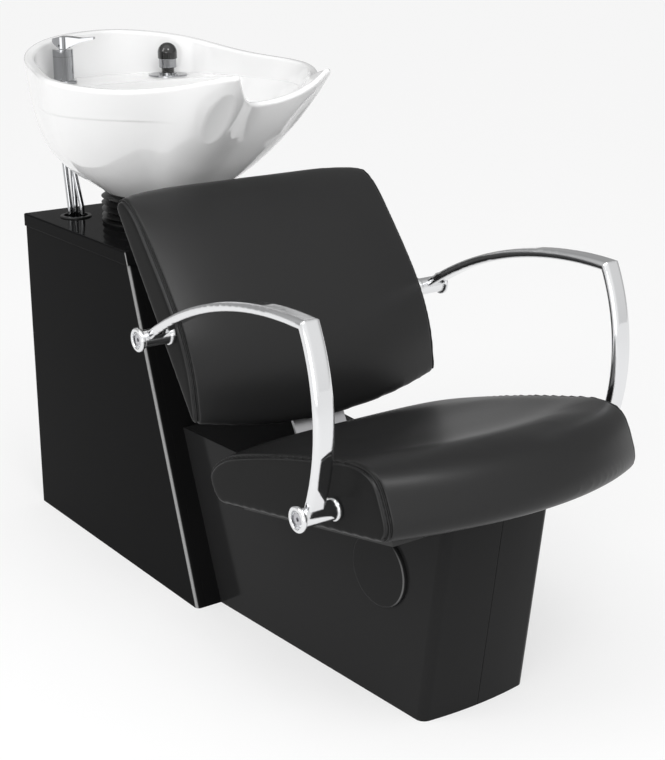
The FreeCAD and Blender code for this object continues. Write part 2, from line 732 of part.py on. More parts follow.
def armrest(sign):
    rear = (ahead(ARM_REAR_AHEAD), ARM_REAR_HEIGHT)
    corner = (ahead(ARM_CORNER_AHEAD), ARM_CORNER_HEIGHT)
    front = (ahead(ARM_FRONT_AHEAD), ARM_FRONT_HEIGHT)
    crown = (ahead(ARM_CROWN_AHEAD), ARM_CROWN_HEIGHT)
    knee = (ahead(ARM_KNEE_AHEAD), ARM_KNEE_HEIGHT)
    x = ARM_BAR_INSET - ARM_SPAN / 2
    bar = curved_bar(rear, crown, corner, ARM_BAR_THICKNESS * 3, x)
    leg = curved_bar(front, knee, corner, ARM_BAR_THICKNESS * 3, x)
    at = V(x, *corner)
    mitre = ((at - V(x, *crown)).normalize() - (at - V(x, *knee)).normalize()).normalize()
    size = CABINET_DEPTH_FLOOR
    bar = bar.cut(half_space(at, mitre, size))
    leg = leg.cut(half_space(at, mitre * -1, size))
    arm = fuse([bar, leg])
    for y, z, half in arm_places():
        arm = arm.cut(rod_x(SLEEVE_RADIUS, -ARM_SPAN, 0, y, z))
    return sided(arm, sign)


def arm_sleeve(place):
    y, z, half = place
    outer = -ARM_SPAN / 2
    inner = -half - SEAT_FIT
    tube = rod_x(SLEEVE_RADIUS, outer, inner, y, z)
    ring = rod_x(SLEEVE_RING_RADIUS, outer, outer + SLEEVE_RING, y, z)
    rims = [e for e in ring.Edges if len(e.Vertexes) == 1]
    ring = ring.makeFillet(SLEEVE_RING / 3, rims)
    foot = rod_x(SLEEVE_FOOT_RADIUS, inner - SLEEVE_RING, inner, y, z)
    recess = rod_x(SLEEVE_RECESS_RADIUS, outer - PAST, outer + SLEEVE_RECESS, y, z)
    bore = rod_x(ARM_BOLT_RADIUS + SEAT_FIT, outer - PAST, inner + PAST, y, z)
    return fuse([tube, ring, foot]).cut(recess).cut(bore)


def arm_sleeves(sign):
    return sided(Part.makeCompound([arm_sleeve(place) for place in arm_places()]), sign)


def arm_bolt(place):
    y, z, half = place
    seat = -ARM_SPAN / 2 + SLEEVE_RECESS
    head = rod_x(ARM_BOLT_HEAD_RADIUS, seat - ARM_BOLT_HEAD, seat, y, z)
    shank = rod_x(ARM_BOLT_RADIUS, seat, ARM_BOLT_GRIP - half, y, z)
    socket = rod_x(ARM_BOLT_SOCKET, seat - ARM_BOLT_HEAD - PAST, seat - ARM_BOLT_HEAD / 3, y, z)
    return fuse([head, shank]).cut(socket)


def arm_bolts():
    bolts = [arm_bolt(place) for place in arm_places()]
    return Part.makeCompound(bolts + [mirror_x(bolt) for bolt in bolts])


# Half plan of the basin at its foot and at its rim, rear to front: across as a part of the half width,
# along as a part of the rear reach (above 0) or of the front reach (below 0).
# The rim swells ahead of the axis, runs out to two ears and falls back between them for the neck.
FOOT_PLAN = ((0, 1.0), (0.5, 0.87), (0.87, 0.5), (1.0, 0.0), (0.94, -0.3), (0.76, -0.57),
             (0.56, -0.78), (0.44, -0.93), (0.3, -1.0), (0, -1.02))
RIM_PLAN = ((0, 1.0), (0.39, 0.86), (0.71, 0.56), (0.88, 0.0), (1.0, -0.3), (0.81, -0.57),
            (0.54, -0.77), (0.42, -0.92), (0.31, -0.985), (0, -0.9))

# Outside of the basin: level, then half width and rear reach as parts of their rim values.
BASIN_SIDE = ((0.07, 0.46, 0.53), (0.235, 0.7, 0.765), (0.5, 0.88, 0.925), (0.75, 0.97, 0.985),
              (1.0, 1.01, 1.01))

# Rim line from rear to front: along as in the plan, height as a part of the rear rise or of the side dip.
RIM_LINE = ((1.1, 1.0), (0.86, 0.83), (0.56, 0.15), (0.0, -0.5), (-0.3, -0.8), (-0.57, -1.0),
            (-0.78, -0.5), (-1.0, 0.3), (-1.2, 0.9))


def ring_points(z, half, rear, front):
    """Points round the basin's plan at a height, from the rear by the right to the front and back."""
    level = (z - BASIN_BOTTOM) / BASIN_DEPTH
    right = []
    for (u0, v0), (u1, v1) in zip(FOOT_PLAN, RIM_PLAN):
        u, v = u0 + (u1 - u0) * level, v0 + (v1 - v0) * level
        right.append(V(-u * half, BASIN_Y + v * (rear if v > 0 else front), z))
    return right + [V(-p.x, p.y, p.z) for p in right[-2:0:-1]]


def moved_in(points, inset):
    """Points of a closed line moved inwards, square to the line."""
    moved = []
    for before, here, after in zip(points[-1:] + points, points, points[1:] + points[:1]):
        along = (after - before).normalize()
        moved.append(here + V(-along.y, along.x, 0) * inset)
    return moved


def basin_ring(z, half, rear, front, inset=0):
    """A closed curve round the basin's plan; all such curves share the rim's spacing of points."""
    rim = ring_points(BASIN_RIM, BASIN_HALF_WIDTH, BASIN_REAR, BASIN_FRONT)
    steps = [0.0]
    for before, after in zip(rim, rim[1:] + rim[:1]):
        steps.append(steps[-1] + before.distanceToPoint(after))
    points = moved_in(ring_points(z, half, rear, front), inset)
    ring = Part.BSplineCurve()
    ring.interpolate(Points=points, PeriodicFlag=True, Parameters=steps)
    return Part.Wire(ring.toShape())


def basin_reach(z):
    """Front reach of the basin's outside at a height."""
    foot = BASIN_FOOT * 1.5
    level = (z - BASIN_BOTTOM) / BASIN_DEPTH
    return foot + (BASIN_FRONT - foot) * level * (1 + BASIN_PROW * (1 - level))


def basin_sizes(z):
    """Half width and rear reach of the basin's outside at a height."""
    level = (z - BASIN_BOTTOM) / BASIN_TALL
    sides = ((0.0, BASIN_FOOT / BASIN_HALF_WIDTH, BASIN_FOOT / BASIN_REAR),) + BASIN_SIDE
    for low, high in zip(sides, sides[1:]):
        if level <= high[0]:
            part = (level - low[0]) / (high[0] - low[0])
            return [size * (low[i] + (high[i] - low[i]) * part)
                    for i, size in ((1, BASIN_HALF_WIDTH), (2, BASIN_REAR))]
    return BASIN_HALF_WIDTH * sides[-1][1], BASIN_REAR * sides[-1][2]


def basin_outside():
    heights = [BASIN_BOTTOM] + [BASIN_BOTTOM + side[0] * BASIN_TALL for side in BASIN_SIDE]
    rings = [basin_ring(z, *basin_sizes(z), basin_reach(z)) for z in heights]
    return Part.makeLoft(rings, True, False)


def basin_hollow():
    """The bowl, then the space inside the rim, which is wider by a ledge and runs back over the tap deck."""
    floor_z = BASIN_BOTTOM + BASIN_FLOOR

    def inner_ring(z, inset, rear):
        return basin_ring(z, basin_sizes(z)[0], rear, basin_reach(z), inset)

    top = TAP_DECK_TOP + PAST
    bowl = [basin_ring(floor_z, BASIN_FOOT * 0.8, BOWL_REAR * 0.8, BASIN_FOOT * 1.1)]
    inset = BASIN_WALL + BOWL_LEDGE
    for part in (0.3, 0.62, 1.0):
        bowl.append(inner_ring(floor_z + (top - floor_z) * part, inset, BOWL_REAR + inset))
    rim = [inner_ring(z, BASIN_WALL, basin_sizes(z)[1])
           for z in (TAP_DECK_TOP, BASIN_RIM, BASIN_BOTTOM + BASIN_TALL + PAST)]
    return [Part.makeLoft(rings, True, False) for rings in (bowl, rim)]


def under_deck_hollow():
    """The hollow behind the bowl and under the tap deck, inside the outer skin."""
    top = TAP_DECK_TOP - TAP_DECK
    low = BASIN_BOTTOM + BASIN_FLOOR
    rings = []
    for part in (0, 0.25, 0.6, 1.0):
        z = low + (top - low) * part
        half, rear = basin_sizes(z)
        rings.append(basin_ring(z, half, rear, basin_reach(z), BASIN_WALL))
    behind = BASIN_Y + BOWL_REAR + BASIN_WALL
    wide = BASIN_HALF_WIDTH
    return Part.makeLoft(rings, True, False).common(box(-wide, wide, behind, behind + wide, low, top))


def rim_cutter():
    """Everything above the rim line, which is high at the rear, low at the sides and rises to the neck."""
    line = Part.BSplineCurve()
    wide = BASIN_HALF_WIDTH * 1.2
    places = [V(-wide, BASIN_Y + v * (BASIN_REAR if v > 0 else BASIN_FRONT),
                BASIN_RIM + h * (BASIN_REAR_RISE if h > 0 else BASIN_SIDE_DIP)) for v, h in RIM_LINE]
    line.interpolate(places)
    top = BASIN_RIM + BASIN_DEPTH
    start, end = line.StartPoint, line.EndPoint
    above = Part.makePolygon([end, V(-wide, end.y, top), V(-wide, start.y, top), start])
    face = Part.Face(Part.Wire([line.toShape()] + above.Edges))
    return face.extrude(V(2 * wide, 0, 0))


def neck_fold():
    """The hollow under the right-hand ear, where the side wall turns in to the neck."""
    out = V(*FOLD_OUT).normalize()
    axis = V(*FOLD_RUN).cross(out).normalize()
    skin = V(-FOLD_ACROSS, BASIN_Y - FOLD_AHEAD, BASIN_RIM - FOLD_DROP)
    scoop = Part.makeTorus(FOLD_SWEEP, FOLD_RADIUS)
    centre = skin + out * (FOLD_SWEEP + FOLD_RADIUS - FOLD_DEPTH)
    scoop.Placement = FreeCAD.Placement(centre, FreeCAD.Rotation(V(0, 0, 1), axis))
    return scoop


def softened_folds(body):
    """The basin with the edges of the hollows under its ears rounded."""
    edges = [e for f in body.Faces if f.Surface.TypeId == "Part::GeomToroid" for e in f.Edges]
    edges = [e for e in edges if sum(e.isSame(other) for other in edges) == 1]
    return body.makeFillet(FOLD_ROUND, edges)


def basin():
    body = basin_outside()
    for hollow in basin_hollow():
        body = body.cut(hollow)
    neck_z = BASIN_RIM - NECK_DEPTH + NECK_RADIUS
    inside, outside = BASIN_Y - BASIN_FRONT * 0.5, BASIN_Y - BASIN_FRONT * 1.2
    neck = rod(NECK_RADIUS, V(0, outside, neck_z), V(0, inside, neck_z))
    body = body.cut(rim_cutter()).cut(neck)
    rim = [e for e in body.Edges
           if e.BoundBox.ZMin > TAP_DECK_TOP and max(-e.BoundBox.XMin, e.BoundBox.XMax) > BASIN_WALL
           and e.BoundBox.ZLength > 1]
    body = body.makeFillet(BASIN_RIM_ROUND, rim)
    body = body.cut(neck_fold()).cut(mirror_x(neck_fold()))
    body = body.cut(under_deck_hollow())
    body = body.cut(drill(DRAIN_RADIUS + SEAT_FIT, 0, BASIN_Y, BASIN_BOTTOM, BASIN_RIM))
    flange_seat = BASIN_BOTTOM + BASIN_FLOOR - DRAIN_FLANGE_THICKNESS
    body = body.cut(disc(DRAIN_FLANGE + SEAT_FIT, 0, BASIN_Y, flange_seat, BASIN_RIM))
    for x in (TAP_X, SPRAY_X):
        body = body.cut(disc(POCKET_RADIUS, x, FITTING_Y, BASIN_BOTTOM, TAP_DECK_TOP - TAP_DECK))
        body = body.cut(disc(FITTING_HOLE + SEAT_FIT, x, FITTING_Y, BASIN_BOTTOM, BASIN_RIM))
    return softened_folds(body)


def drain_cup():
    seat = BASIN_BOTTOM + BASIN_FLOOR - DRAIN_FLANGE_THICKNESS
    top = seat + DRAIN_FLANGE_THICKNESS
    flange = disc(DRAIN_FLANGE, 0, BASIN_Y, seat, top)
    throat = disc(DRAIN_RADIUS, 0, BASIN_Y, DRAIN_END, top)
    ledge = disc(DRAIN_RADIUS - DRAIN_WALL, 0, BASIN_Y, seat, top + PAST)
    bore = drill(DRAIN_BORE, 0, BASIN_Y, DRAIN_END, seat)
    return fuse([flange, throat]).cut(ledge).cut(bore)


def drain_nut():
    top = BASIN_BOTTOM - SEAT_FIT
    ring = disc(DRAIN_NUT_RADIUS, 0, BASIN_Y, top - DRAIN_NUT, top)
    return ring.cut(drill(DRAIN_RADIUS + RUN_FIT, 0, BASIN_Y, top - DRAIN_NUT, top))


def hair_strainer():
    seat = BASIN_BOTTOM + BASIN_FLOOR - DRAIN_FLANGE_THICKNESS
    radius = DRAIN_RADIUS - DRAIN_WALL - SEAT_FIT
    plate = disc(radius, 0, BASIN_Y, seat, seat + STRAINER_THICKNESS)
    for ring, count in ((0.45, 6), (0.76, 12)):
        for i in range(count):
            turn = radians(360.0 * i / count)
            x, y = ring * radius * cos(turn), BASIN_Y + ring * radius * sin(turn)
            plate = plate.cut(drill(STRAINER_HOLE, x, y, seat, seat + STRAINER_THICKNESS))
    knob = Part.makeSphere(STRAINER_KNOB, V(0, BASIN_Y, seat + STRAINER_THICKNESS + STRAINER_KNOB / 2))
    below = disc(radius, 0, BASIN_Y, seat - STRAINER_KNOB, seat)
    return fuse([plate, knob]).cut(below)


def drain_tail():
    pipe = disc(TAIL_RADIUS, 0, BASIN_Y, TAIL_END, DRAIN_END)
    return pipe.cut(drill(TAIL_RADIUS - PIPE_WALL, 0, BASIN_Y, TAIL_END, DRAIN_END))


def routed(points, bends):
    """A centre line through points, straight runs joined by tangent arcs of given radii."""
    edges = []
    start = points[0]
    for before, here, after, radius in zip(points, points[1:], points[2:], bends):
        u, w = (before - here).normalize(), (after - here).normalize()
        half = u.getAngle(w) / 2
        set_back = radius / tan(half)
        middle = here + (u + w).normalize() * (radius / sin(half) - radius)
        edges.append(Part.makeLine(start, here + u * set_back))
        edges.append(Part.Arc(here + u * set_back, middle, here + w * set_back).toShape())
        start = here + w * set_back
    edges.append(Part.makeLine(start, points[-1]))
    return Part.Wire(edges)


def hose(points, bends, radius, bore=0):
    path = routed(points, bends)
    along = (points[1] - points[0]).normalize()
    skin = Part.Wire(Part.Circle(points[0], along, radius).toShape())
    tube = path.makePipeShell([skin], True, True)
    if bore:
        core = Part.Wire(Part.Circle(points[0], along, bore).toShape())
        tube = tube.cut(path.makePipeShell([core], True, True))
    return tube


def waste_hose():
    low_y = ahead(WASTE_PIPE_AHEAD)
    points = [V(0, BASIN_Y, TAIL_END), V(0, BASIN_Y, TAIL_END - WASTE_DROP),
              V(0, low_y, WASTE_PIPE_TOP + WASTE_LEAD), V(0, low_y, WASTE_PIPE_TOP)]
    return hose(points, (WASTE_BEND, WASTE_BEND), TAIL_RADIUS, TAIL_RADIUS - PIPE_WALL)


def waste_pipe():
    y = ahead(WASTE_PIPE_AHEAD)
    shoulder = WASTE_PIPE_BOTTOM + WASTE_SPIGOT
    spigot = disc(TAIL_RADIUS, 0, y, WASTE_PIPE_BOTTOM, shoulder)
    pipe = disc(WASTE_PIPE_RADIUS, 0, y, shoulder, WASTE_PIPE_TOP)
    bore = drill(TAIL_RADIUS - PIPE_WALL, 0, y, WASTE_PIPE_BOTTOM, WASTE_PIPE_TOP)
    return fuse([spigot, pipe]).cut(bore)


def waste_clip():
    y = ahead(WASTE_PIPE_AHEAD)
    low, high = TIE_HEIGHT + CLIP_INSET, TIE_HEIGHT + TUBE - CLIP_INSET
    ring = disc(WASTE_PIPE_RADIUS + CLIP_WALL, 0, y, low, high)
    tab = box(-CLIP_TAB / 2, CLIP_TAB / 2, y, BASIN_Y - TUBE / 2, low, high)
    return fuse([ring, tab]).cut(drill(WASTE_PIPE_RADIUS + RUN_FIT, 0, y, low, high))


def lug_plate(x0, x1, eye, hole, foot_z, foot_half):
    """An upright plate with a round eye on the tilt axis, its foot at a height."""
    eye_disc = rod_x(eye, x0, x1, BASIN_Y, PIVOT_Z)
    web = profile_x([(BASIN_Y - foot_half, foot_z), (BASIN_Y + foot_half, foot_z),
                     (BASIN_Y + eye, PIVOT_Z), (BASIN_Y - eye, PIVOT_Z)], x0, x1)
    return fuse([eye_disc, web]).cut(rod_x(hole, x0 - PAST, x1 + PAST, BASIN_Y, PIVOT_Z))


def tilt_bracket():
    top = BASIN_BOTTOM
    half = BRACKET_WIDTH / 2
    deep = BRACKET_LENGTH / 2
    plate = box(-half, half, BASIN_Y - deep, BASIN_Y + deep, top - BRACKET_THICKNESS, top)
    plate = plate.cut(drill(DRAIN_FLANGE, 0, BASIN_Y, top - BRACKET_THICKNESS, top))
    lugs = []
    for sign in SIDES.values():
        x0, x1 = sorted((sign * LUG_OUTER, sign * (LUG_OUTER - LUG_THICKNESS)))
        lugs.append(lug_plate(x0, x1, LUG_EYE, PIVOT_RADIUS + RUN_FIT, top - BRACKET_THICKNESS, LUG_EYE))
    return fuse([plate] + lugs)


def basin_stand():
    half = STAND_WIDTH / 2
    deep = STAND_LENGTH / 2
    top = STAND_BASE + STAND_THICKNESS
    plate = box(-half, half, BASIN_Y - deep, BASIN_Y + deep, STAND_BASE, top)
    plate = plate.cut(drill(STAND_PORT, 0, BASIN_Y, STAND_BASE, top))
    cheeks = []
    for sign in SIDES.values():
        x0, x1 = sorted((sign * (half - STAND_THICKNESS), sign * half))
        cheeks.append(lug_plate(x0, x1, LUG_EYE, PIVOT_RADIUS + RUN_FIT, top, STAND_CHEEK / 2))
    return fuse([plate] + cheeks)


def tilt_pins():
    pins = []
    for sign in SIDES.values():
        start = sign * (LUG_OUTER - LUG_THICKNESS - PIN_END)
        cheek = sign * STAND_WIDTH / 2
        shank = rod_x(PIVOT_RADIUS, start, cheek, BASIN_Y, PIVOT_Z)
        head = rod_x(PIN_HEAD_RADIUS, cheek, cheek + sign * PIN_HEAD, BASIN_Y, PIVOT_Z)
        pins.append(fuse([shank, head]))
    return Part.makeCompound(pins)


def bellows():
    low, high = CABINET_HEIGHT, BASIN_BOTTOM - SEAT_FIT
    pitch = (high - low - 2 * BELLOWS_BAND) / BELLOWS_RIBS
    outside = [(BELLOWS_RADIUS, low), (BELLOWS_RADIUS, low + BELLOWS_WALL),
               (BELLOWS_VALLEY, low + BELLOWS_BAND)]
    for i in range(BELLOWS_RIBS):
        z = low + BELLOWS_BAND + i * pitch
        outside.append((BELLOWS_RADIUS, z + pitch / 2))
        if i < BELLOWS_RIBS - 1:
            outside.append((BELLOWS_VALLEY, z + pitch))
    outside += [(BELLOWS_VALLEY, high - BELLOWS_WALL), (BELLOWS_VALLEY, high)]
    inside = [(BELLOWS_CUFF, high), (BELLOWS_CUFF, high - BELLOWS_WALL)]
    inside += [(r - BELLOWS_WALL, z) for r, z in reversed(outside[2:-2])]
    inside += [(BELLOWS_VALLEY - BELLOWS_WALL, low)]
    corners = [V(r, BASIN_Y, z) for r, z in outside + inside]
    face = Part.Face(Part.makePolygon(corners + corners[:1]))
    return face.revolve(V(0, BASIN_Y, 0), V(0, 0, 1), 360)


def tube_run(x0, x1, y0, y1, z0, z1, axis):
    """A square tube as its outside block and the hollow along one axis."""
    outside = box(x0, x1, y0, y1, z0, z1)
    wall = [0 if axis == a else TUBE_WALL for a in "xyz"]
    hollow = box(x0 + wall[0], x1 - wall[0], y0 + wall[1], y1 - wall[1], z0 + wall[2], z1 - wall[2])
    return outside, hollow


def anchor_places():
    rows = (ahead(ANCHOR_REAR_AHEAD), ahead(ANCHOR_FRONT_AHEAD))
    return [(x, y) for x in (-ANCHOR_OFFSET, ANCHOR_OFFSET) for y in rows]


def frame_tubes():
    """Floor rails, posts and cross members."""
    half = TUBE / 2
    front, back = ahead(FRAME_FRONT_AHEAD), ahead(FRAME_REAR_AHEAD)
    cross = RAIL_OFFSET - half
    runs = []
    for sign in SIDES.values():
        x0, x1 = sign * RAIL_OFFSET - half, sign * RAIL_OFFSET + half
        runs.append(tube_run(x0, x1, front, back, 0, TUBE, "y"))
        runs.append(tube_run(x0, x1, BASIN_Y - half, BASIN_Y + half, TUBE, TOP_PLATE_BOTTOM, "z"))
        for y in [ahead(distance) for distance in POSTS_AHEAD]:
            runs.append(tube_run(x0, x1, y - half, y + half, TUBE, DECK_HEIGHT * 1.5, "z"))
    for y in (back - half, ahead(CROSS_AHEAD), front + half):
        runs.append(tube_run(-cross, cross, y - half, y + half, 0, TUBE, "x"))
    runs.append(tube_run(-cross, cross, BASIN_Y - half, BASIN_Y + half, TIE_HEIGHT, TIE_HEIGHT + TUBE, "x"))
    return [outside.cut(hollow) for outside, hollow in runs]


def foot_plate(x, y):
    """A plate from a floor rail inwards, with an anchor hole."""
    inner = x - FOOT_PLATE_SIZE / 4 if x > 0 else x + FOOT_PLATE_SIZE / 4
    rail = RAIL_OFFSET - TUBE / 2 if x > 0 else TUBE / 2 - RAIL_OFFSET
    reach = FOOT_PLATE_SIZE / 2
    x0, x1 = sorted((inner, rail))
    return box(x0, x1, y - reach, y + reach, 0, FOOT_PLATE).cut(drill(ANCHOR_RADIUS, x, y, 0, FOOT_PLATE))


def steel_frame():
    wide = RAIL_OFFSET + TUBE / 2
    deep = TOP_PLATE_LENGTH / 2
    plate = box(-wide, wide, BASIN_Y - deep, BASIN_Y + deep, TOP_PLATE_BOTTOM, STAND_BASE)
    plate = plate.cut(drill(STAND_PORT, 0, BASIN_Y, TOP_PLATE_BOTTOM, STAND_BASE))
    frame = fuse(frame_tubes() + [plate] + [foot_plate(x, y) for x, y in anchor_places()])
    line = deck_line(DECK_THICKNESS)
    above = line + [(line[-1][0], CABINET_HEIGHT), (line[0][0], CABINET_HEIGHT)]
    return frame.cut(profile_x(above, -PLINTH_WIDTH_REAR, PLINTH_WIDTH_REAR))


def tap_ring():
    top = TAP_DECK_TOP + TAP_RING
    ring = rounded_top(disc(TAP_RING_RADIUS, TAP_X, FITTING_Y, TAP_DECK_TOP, top), TAP_RING_ROUND)
    return ring.cut(drill(FITTING_HOLE + SEAT_FIT, TAP_X, FITTING_Y, TAP_DECK_TOP, top))


def tap_body():
    base = TAP_DECK_TOP + TAP_RING
    barrel = disc(TAP_RADIUS, TAP_X, FITTING_Y, base, TAP_TOP)
    shank = disc(FITTING_HOLE, TAP_X, FITTING_Y, TAP_DECK_TOP - TAP_SHANK_LENGTH, base)
    return fuse([barrel, shank])


def ring_nut(x):
    top = TAP_DECK_TOP - TAP_DECK
    low = top - NUT_THICKNESS
    nut = disc(NUT_RADIUS, x, FITTING_Y, low, top)
    return nut.cut(drill(FITTING_HOLE + RUN_FIT, x, FITTING_Y, low, top))


def lever_turned(shape):
    """A piece drawn with the lever along +X from the tap's axis, turned to its rest direction."""
    shape.rotate(V(0, 0, 0), V(0, 0, 1), LEVER_YAW)
    shape.translate(V(TAP_X, FITTING_Y, 0))
    return shape


def lever_rod(radius, half_length):
    """A rod across the lever on its pin's axis."""
    return rod(radius, V(0, -half_length, LEVER_AXIS), V(0, half_length, LEVER_AXIS))


def tap_cap():
    cap = disc(TAP_RADIUS, 0, 0, CAP_BOTTOM, CAP_TOP)
    half = LEVER_LUG / 2
    web = box(-LEVER_EYE, LEVER_EYE, -half, half, CAP_TOP - PAST, LEVER_AXIS)
    lug = fuse([cap, lever_rod(LEVER_EYE, half), web])
    return lever_turned(lug.cut(lever_rod(LEVER_PIN_RADIUS + RUN_FIT, LEVER_LUG)))


def lever_pin():
    return lever_turned(lever_rod(LEVER_PIN_RADIUS, TAP_RADIUS * 0.7))


def lever_side(low):
    """The lever seen from its side: a deep heel over the tap, then a thin blade that turns up at its tip."""
    tip, rise = LEVER_REACH, LEVER_RISE
    top = [(-TAP_RADIUS, 0.62 * rise), (-0.8 * TAP_RADIUS, 0.86 * rise), (-0.2 * TAP_RADIUS, rise),
           (0.25 * tip, rise), (0.6 * tip, 0.88 * rise), (tip, rise)]
    under = [(tip, 0.81 * rise), (0.62 * tip, 0.57 * rise), (0.31 * tip, 0.19 * rise), (0.2 * tip, 0), (0, 0)]
    corners = [V(x, -TAP_RADIUS, low + z) for x, z in top + under]
    return Part.Face(Part.makePolygon(corners + corners[:1])).extrude(V(0, 2 * TAP_RADIUS, 0))


def lever_plan(low):
    """The lever seen from above: round over the tap, then a blade that narrows to its tip."""
    heel, tip = TAP_RADIUS * 0.9, LEVER_TIP_WIDTH / 2
    blade = [V(0, -heel, low), V(LEVER_REACH, -tip, low), V(LEVER_REACH, tip, low), V(0, heel, low)]
    plan = Part.Face(Part.makePolygon(blade + blade[:1])).extrude(V(0, 0, 2 * LEVER_RISE))
    return fuse([plan, disc(TAP_RADIUS, 0, 0, low, low + 2 * LEVER_RISE)])


def tap_lever():
    low = CAP_TOP + LEVER_GAP
    lever = lever_side(low).common(lever_plan(low - PAST))
    half = LEVER_LUG / 2 + LEVER_SLOT_GAP
    slot = box(-2.2 * LEVER_EYE, 1.5 * LEVER_EYE, -half, half, low - PAST, LEVER_AXIS + LEVER_EYE + PAST)
    return lever_turned(lever.cut(slot).cut(lever_rod(LEVER_PIN_RADIUS + RUN_FIT, TAP_RADIUS)))


def spray_plate():
    plate = disc(PLATE_RADIUS, SPRAY_X, FITTING_Y, TAP_DECK_TOP, TAP_DECK_TOP + PLATE_THICKNESS)
    plate = rounded_top(plate, PLATE_ROUND)
    low = TAP_DECK_TOP - SOCKET_LENGTH
    socket = disc(FITTING_HOLE, SPRAY_X, FITTING_Y, low, SPRAY_BASE)
    return fuse([plate, socket]).cut(drill(SOCKET_RADIUS, SPRAY_X, FITTING_Y, low, SPRAY_BASE))


def plate_screw():
    y = FITTING_Y - PLATE_SCREW_OFFSET
    low = TAP_DECK_TOP + PLATE_THICKNESS
    high = low + PLATE_SCREW
    head = disc(PLATE_SCREW_RADIUS, SPRAY_X, y, low, high)
    reach, half = PLATE_SCREW_RADIUS, SCREW_SLOT / 2
    return head.cut(box(SPRAY_X - reach, SPRAY_X + reach, y - half, y + half, high - PLATE_SCREW / 2, high))


def spray_handle():
    low = SPRAY_BASE + SEAT_FIT
    stem_top = low - PLATE_THICKNESS
    stem = disc(SOCKET_RADIUS - SLIDE_FIT, SPRAY_X, FITTING_Y, SPRAY_FOOT, stem_top)
    neck = disc(SPRAY_NECK_RADIUS, SPRAY_X, FITTING_Y, stem_top - PAST, low + SPRAY_NECK)
    return fuse([stem, neck])


def spray_collar():
    low = SPRAY_BASE + SEAT_FIT + SPRAY_NECK
    collar = disc(SPRAY_COLLAR_RADIUS, SPRAY_X, FITTING_Y, low, low + SPRAY_COLLAR)
    rims = [e for e in collar.Edges if len(e.Vertexes) == 1]
    return collar.makeFillet(SPRAY_COLLAR_ROUND, rims)


def spray_dome():
    low = SPRAY_BASE + SEAT_FIT + SPRAY_NECK + SPRAY_COLLAR
    straight = SPRAY_DOME - SPRAY_DOME_RADIUS
    barrel = disc(SPRAY_DOME_RADIUS, SPRAY_X, FITTING_Y, low, low + straight)
    cap = Part.makeSphere(SPRAY_DOME_RADIUS, V(SPRAY_X, FITTING_Y, low + straight))
    cap = cap.cut(disc(2 * SPRAY_DOME_RADIUS, SPRAY_X, FITTING_Y, low - SPRAY_DOME, low + straight))
    return fuse([barrel, cap])


def tap_hose_top(dx, dy):
    return V(TAP_X + dx, FITTING_Y + dy, TAP_DECK_TOP - TAP_SHANK_LENGTH)


def grommet_run(side, dx, dy):
    """The straight part of a hose inside a grommet, from above the lid to below it."""
    x, y = side * GROMMET_X + dx, GROMMET_Y + dy
    return [V(x, y, CABINET_HEIGHT + HOSE_ABOVE_LID), V(x, y, LID_BOTTOM - HOSE_BELOW_LID)]


def inlet_place(index):
    """X and Y of an inlet union: 0 is hot, 1 is cold."""
    return (index - 0.5) * INLET_SPACING, ahead(INLET_AHEAD)


def supply_hose(index):
    """From the tap's shank through the right-hand grommet to an inlet union."""
    across, along = ((-9.0, 5.0), (4.0, 9.0))[index]
    top = tap_hose_top((-8.0, 8.0)[index], 4.0)
    end = V(*inlet_place(index), INLET_TOP)
    run = grommet_run(-1, across, along)
    points = [top, top - V(0, 0, HOSE_DROP)] + run + [end + V(0, 0, INLET_LEAD), end]
    return hose(points, (HOSE_LEAD_BEND, HOSE_LEAD_BEND, HOSE_BEND, HOSE_BEND), HOSE_RADIUS)


def spray_hose():
    """From the tap's shank down into the cabinet, round a hanging loop and up to the spray handle."""
    top = tap_hose_top(0, -9.0)
    foot = V(SPRAY_X, FITTING_Y, SPRAY_FOOT)
    down = grommet_run(-1, 8.0, -11.0)
    up = grommet_run(1, -8.0, 4.0)
    y = GROMMET_Y - LOOP_FORWARD
    loop = [V(x, y, z) for x, z in ((down[1].x, down[1].z - LOOP_START), (down[1].x, INLET_HEIGHT),
                                    (up[1].x, INLET_HEIGHT), (up[1].x, up[1].z - LOOP_START))]
    drop = V(0, 0, HOSE_DROP)
    points = [top, top - drop] + down + loop + up[::-1] + [foot - drop, foot]
    half = [HOSE_LEAD_BEND, HOSE_LEAD_BEND, HOSE_BEND, HOSE_BEND, LOOP_BEND]
    return hose(points, half + half[::-1], HOSE_RADIUS)


def inlet_bracket():
    back = ahead(FRAME_REAR_AHEAD) - TUBE
    front = inlet_place(0)[1] - INLET_SHELF_MARGIN
    right = inlet_place(0)[0] - INLET_PLATE_MARGIN
    left = inlet_place(1)[0] + INLET_PLATE_MARGIN
    low = INLET_HEIGHT - INLET_PLATE
    upright = box(right, left, back - INLET_PLATE, back, 0, INLET_HEIGHT)
    plate = fuse([upright, box(right, left, front, back, low, INLET_HEIGHT)])
    for index in (0, 1):
        plate = plate.cut(drill(INLET_SHANK + RUN_FIT, *inlet_place(index), low, INLET_HEIGHT))
    return plate


def inlet_union(index):
    x, y = inlet_place(index)
    low = INLET_HEIGHT - INLET_COLLAR
    bottom = low - INLET_THREAD
    tail = INLET_HEIGHT + INLET_TAIL
    thread = disc(INLET_RADIUS, x, y, bottom, low)
    shank = disc(INLET_SHANK, x, y, low, tail)
    collar = disc(INLET_COLLAR_RADIUS, x, y, INLET_HEIGHT, INLET_HEIGHT + INLET_COLLAR)
    tip = disc(INLET_TIP_RADIUS, x, y, tail, INLET_TOP)
    return fuse([thread, shank, collar, tip]).cut(drill(HOSE_BORE, x, y, bottom, INLET_TOP))


def inlet_unions():
    return Part.makeCompound([inlet_union(index) for index in (0, 1)])


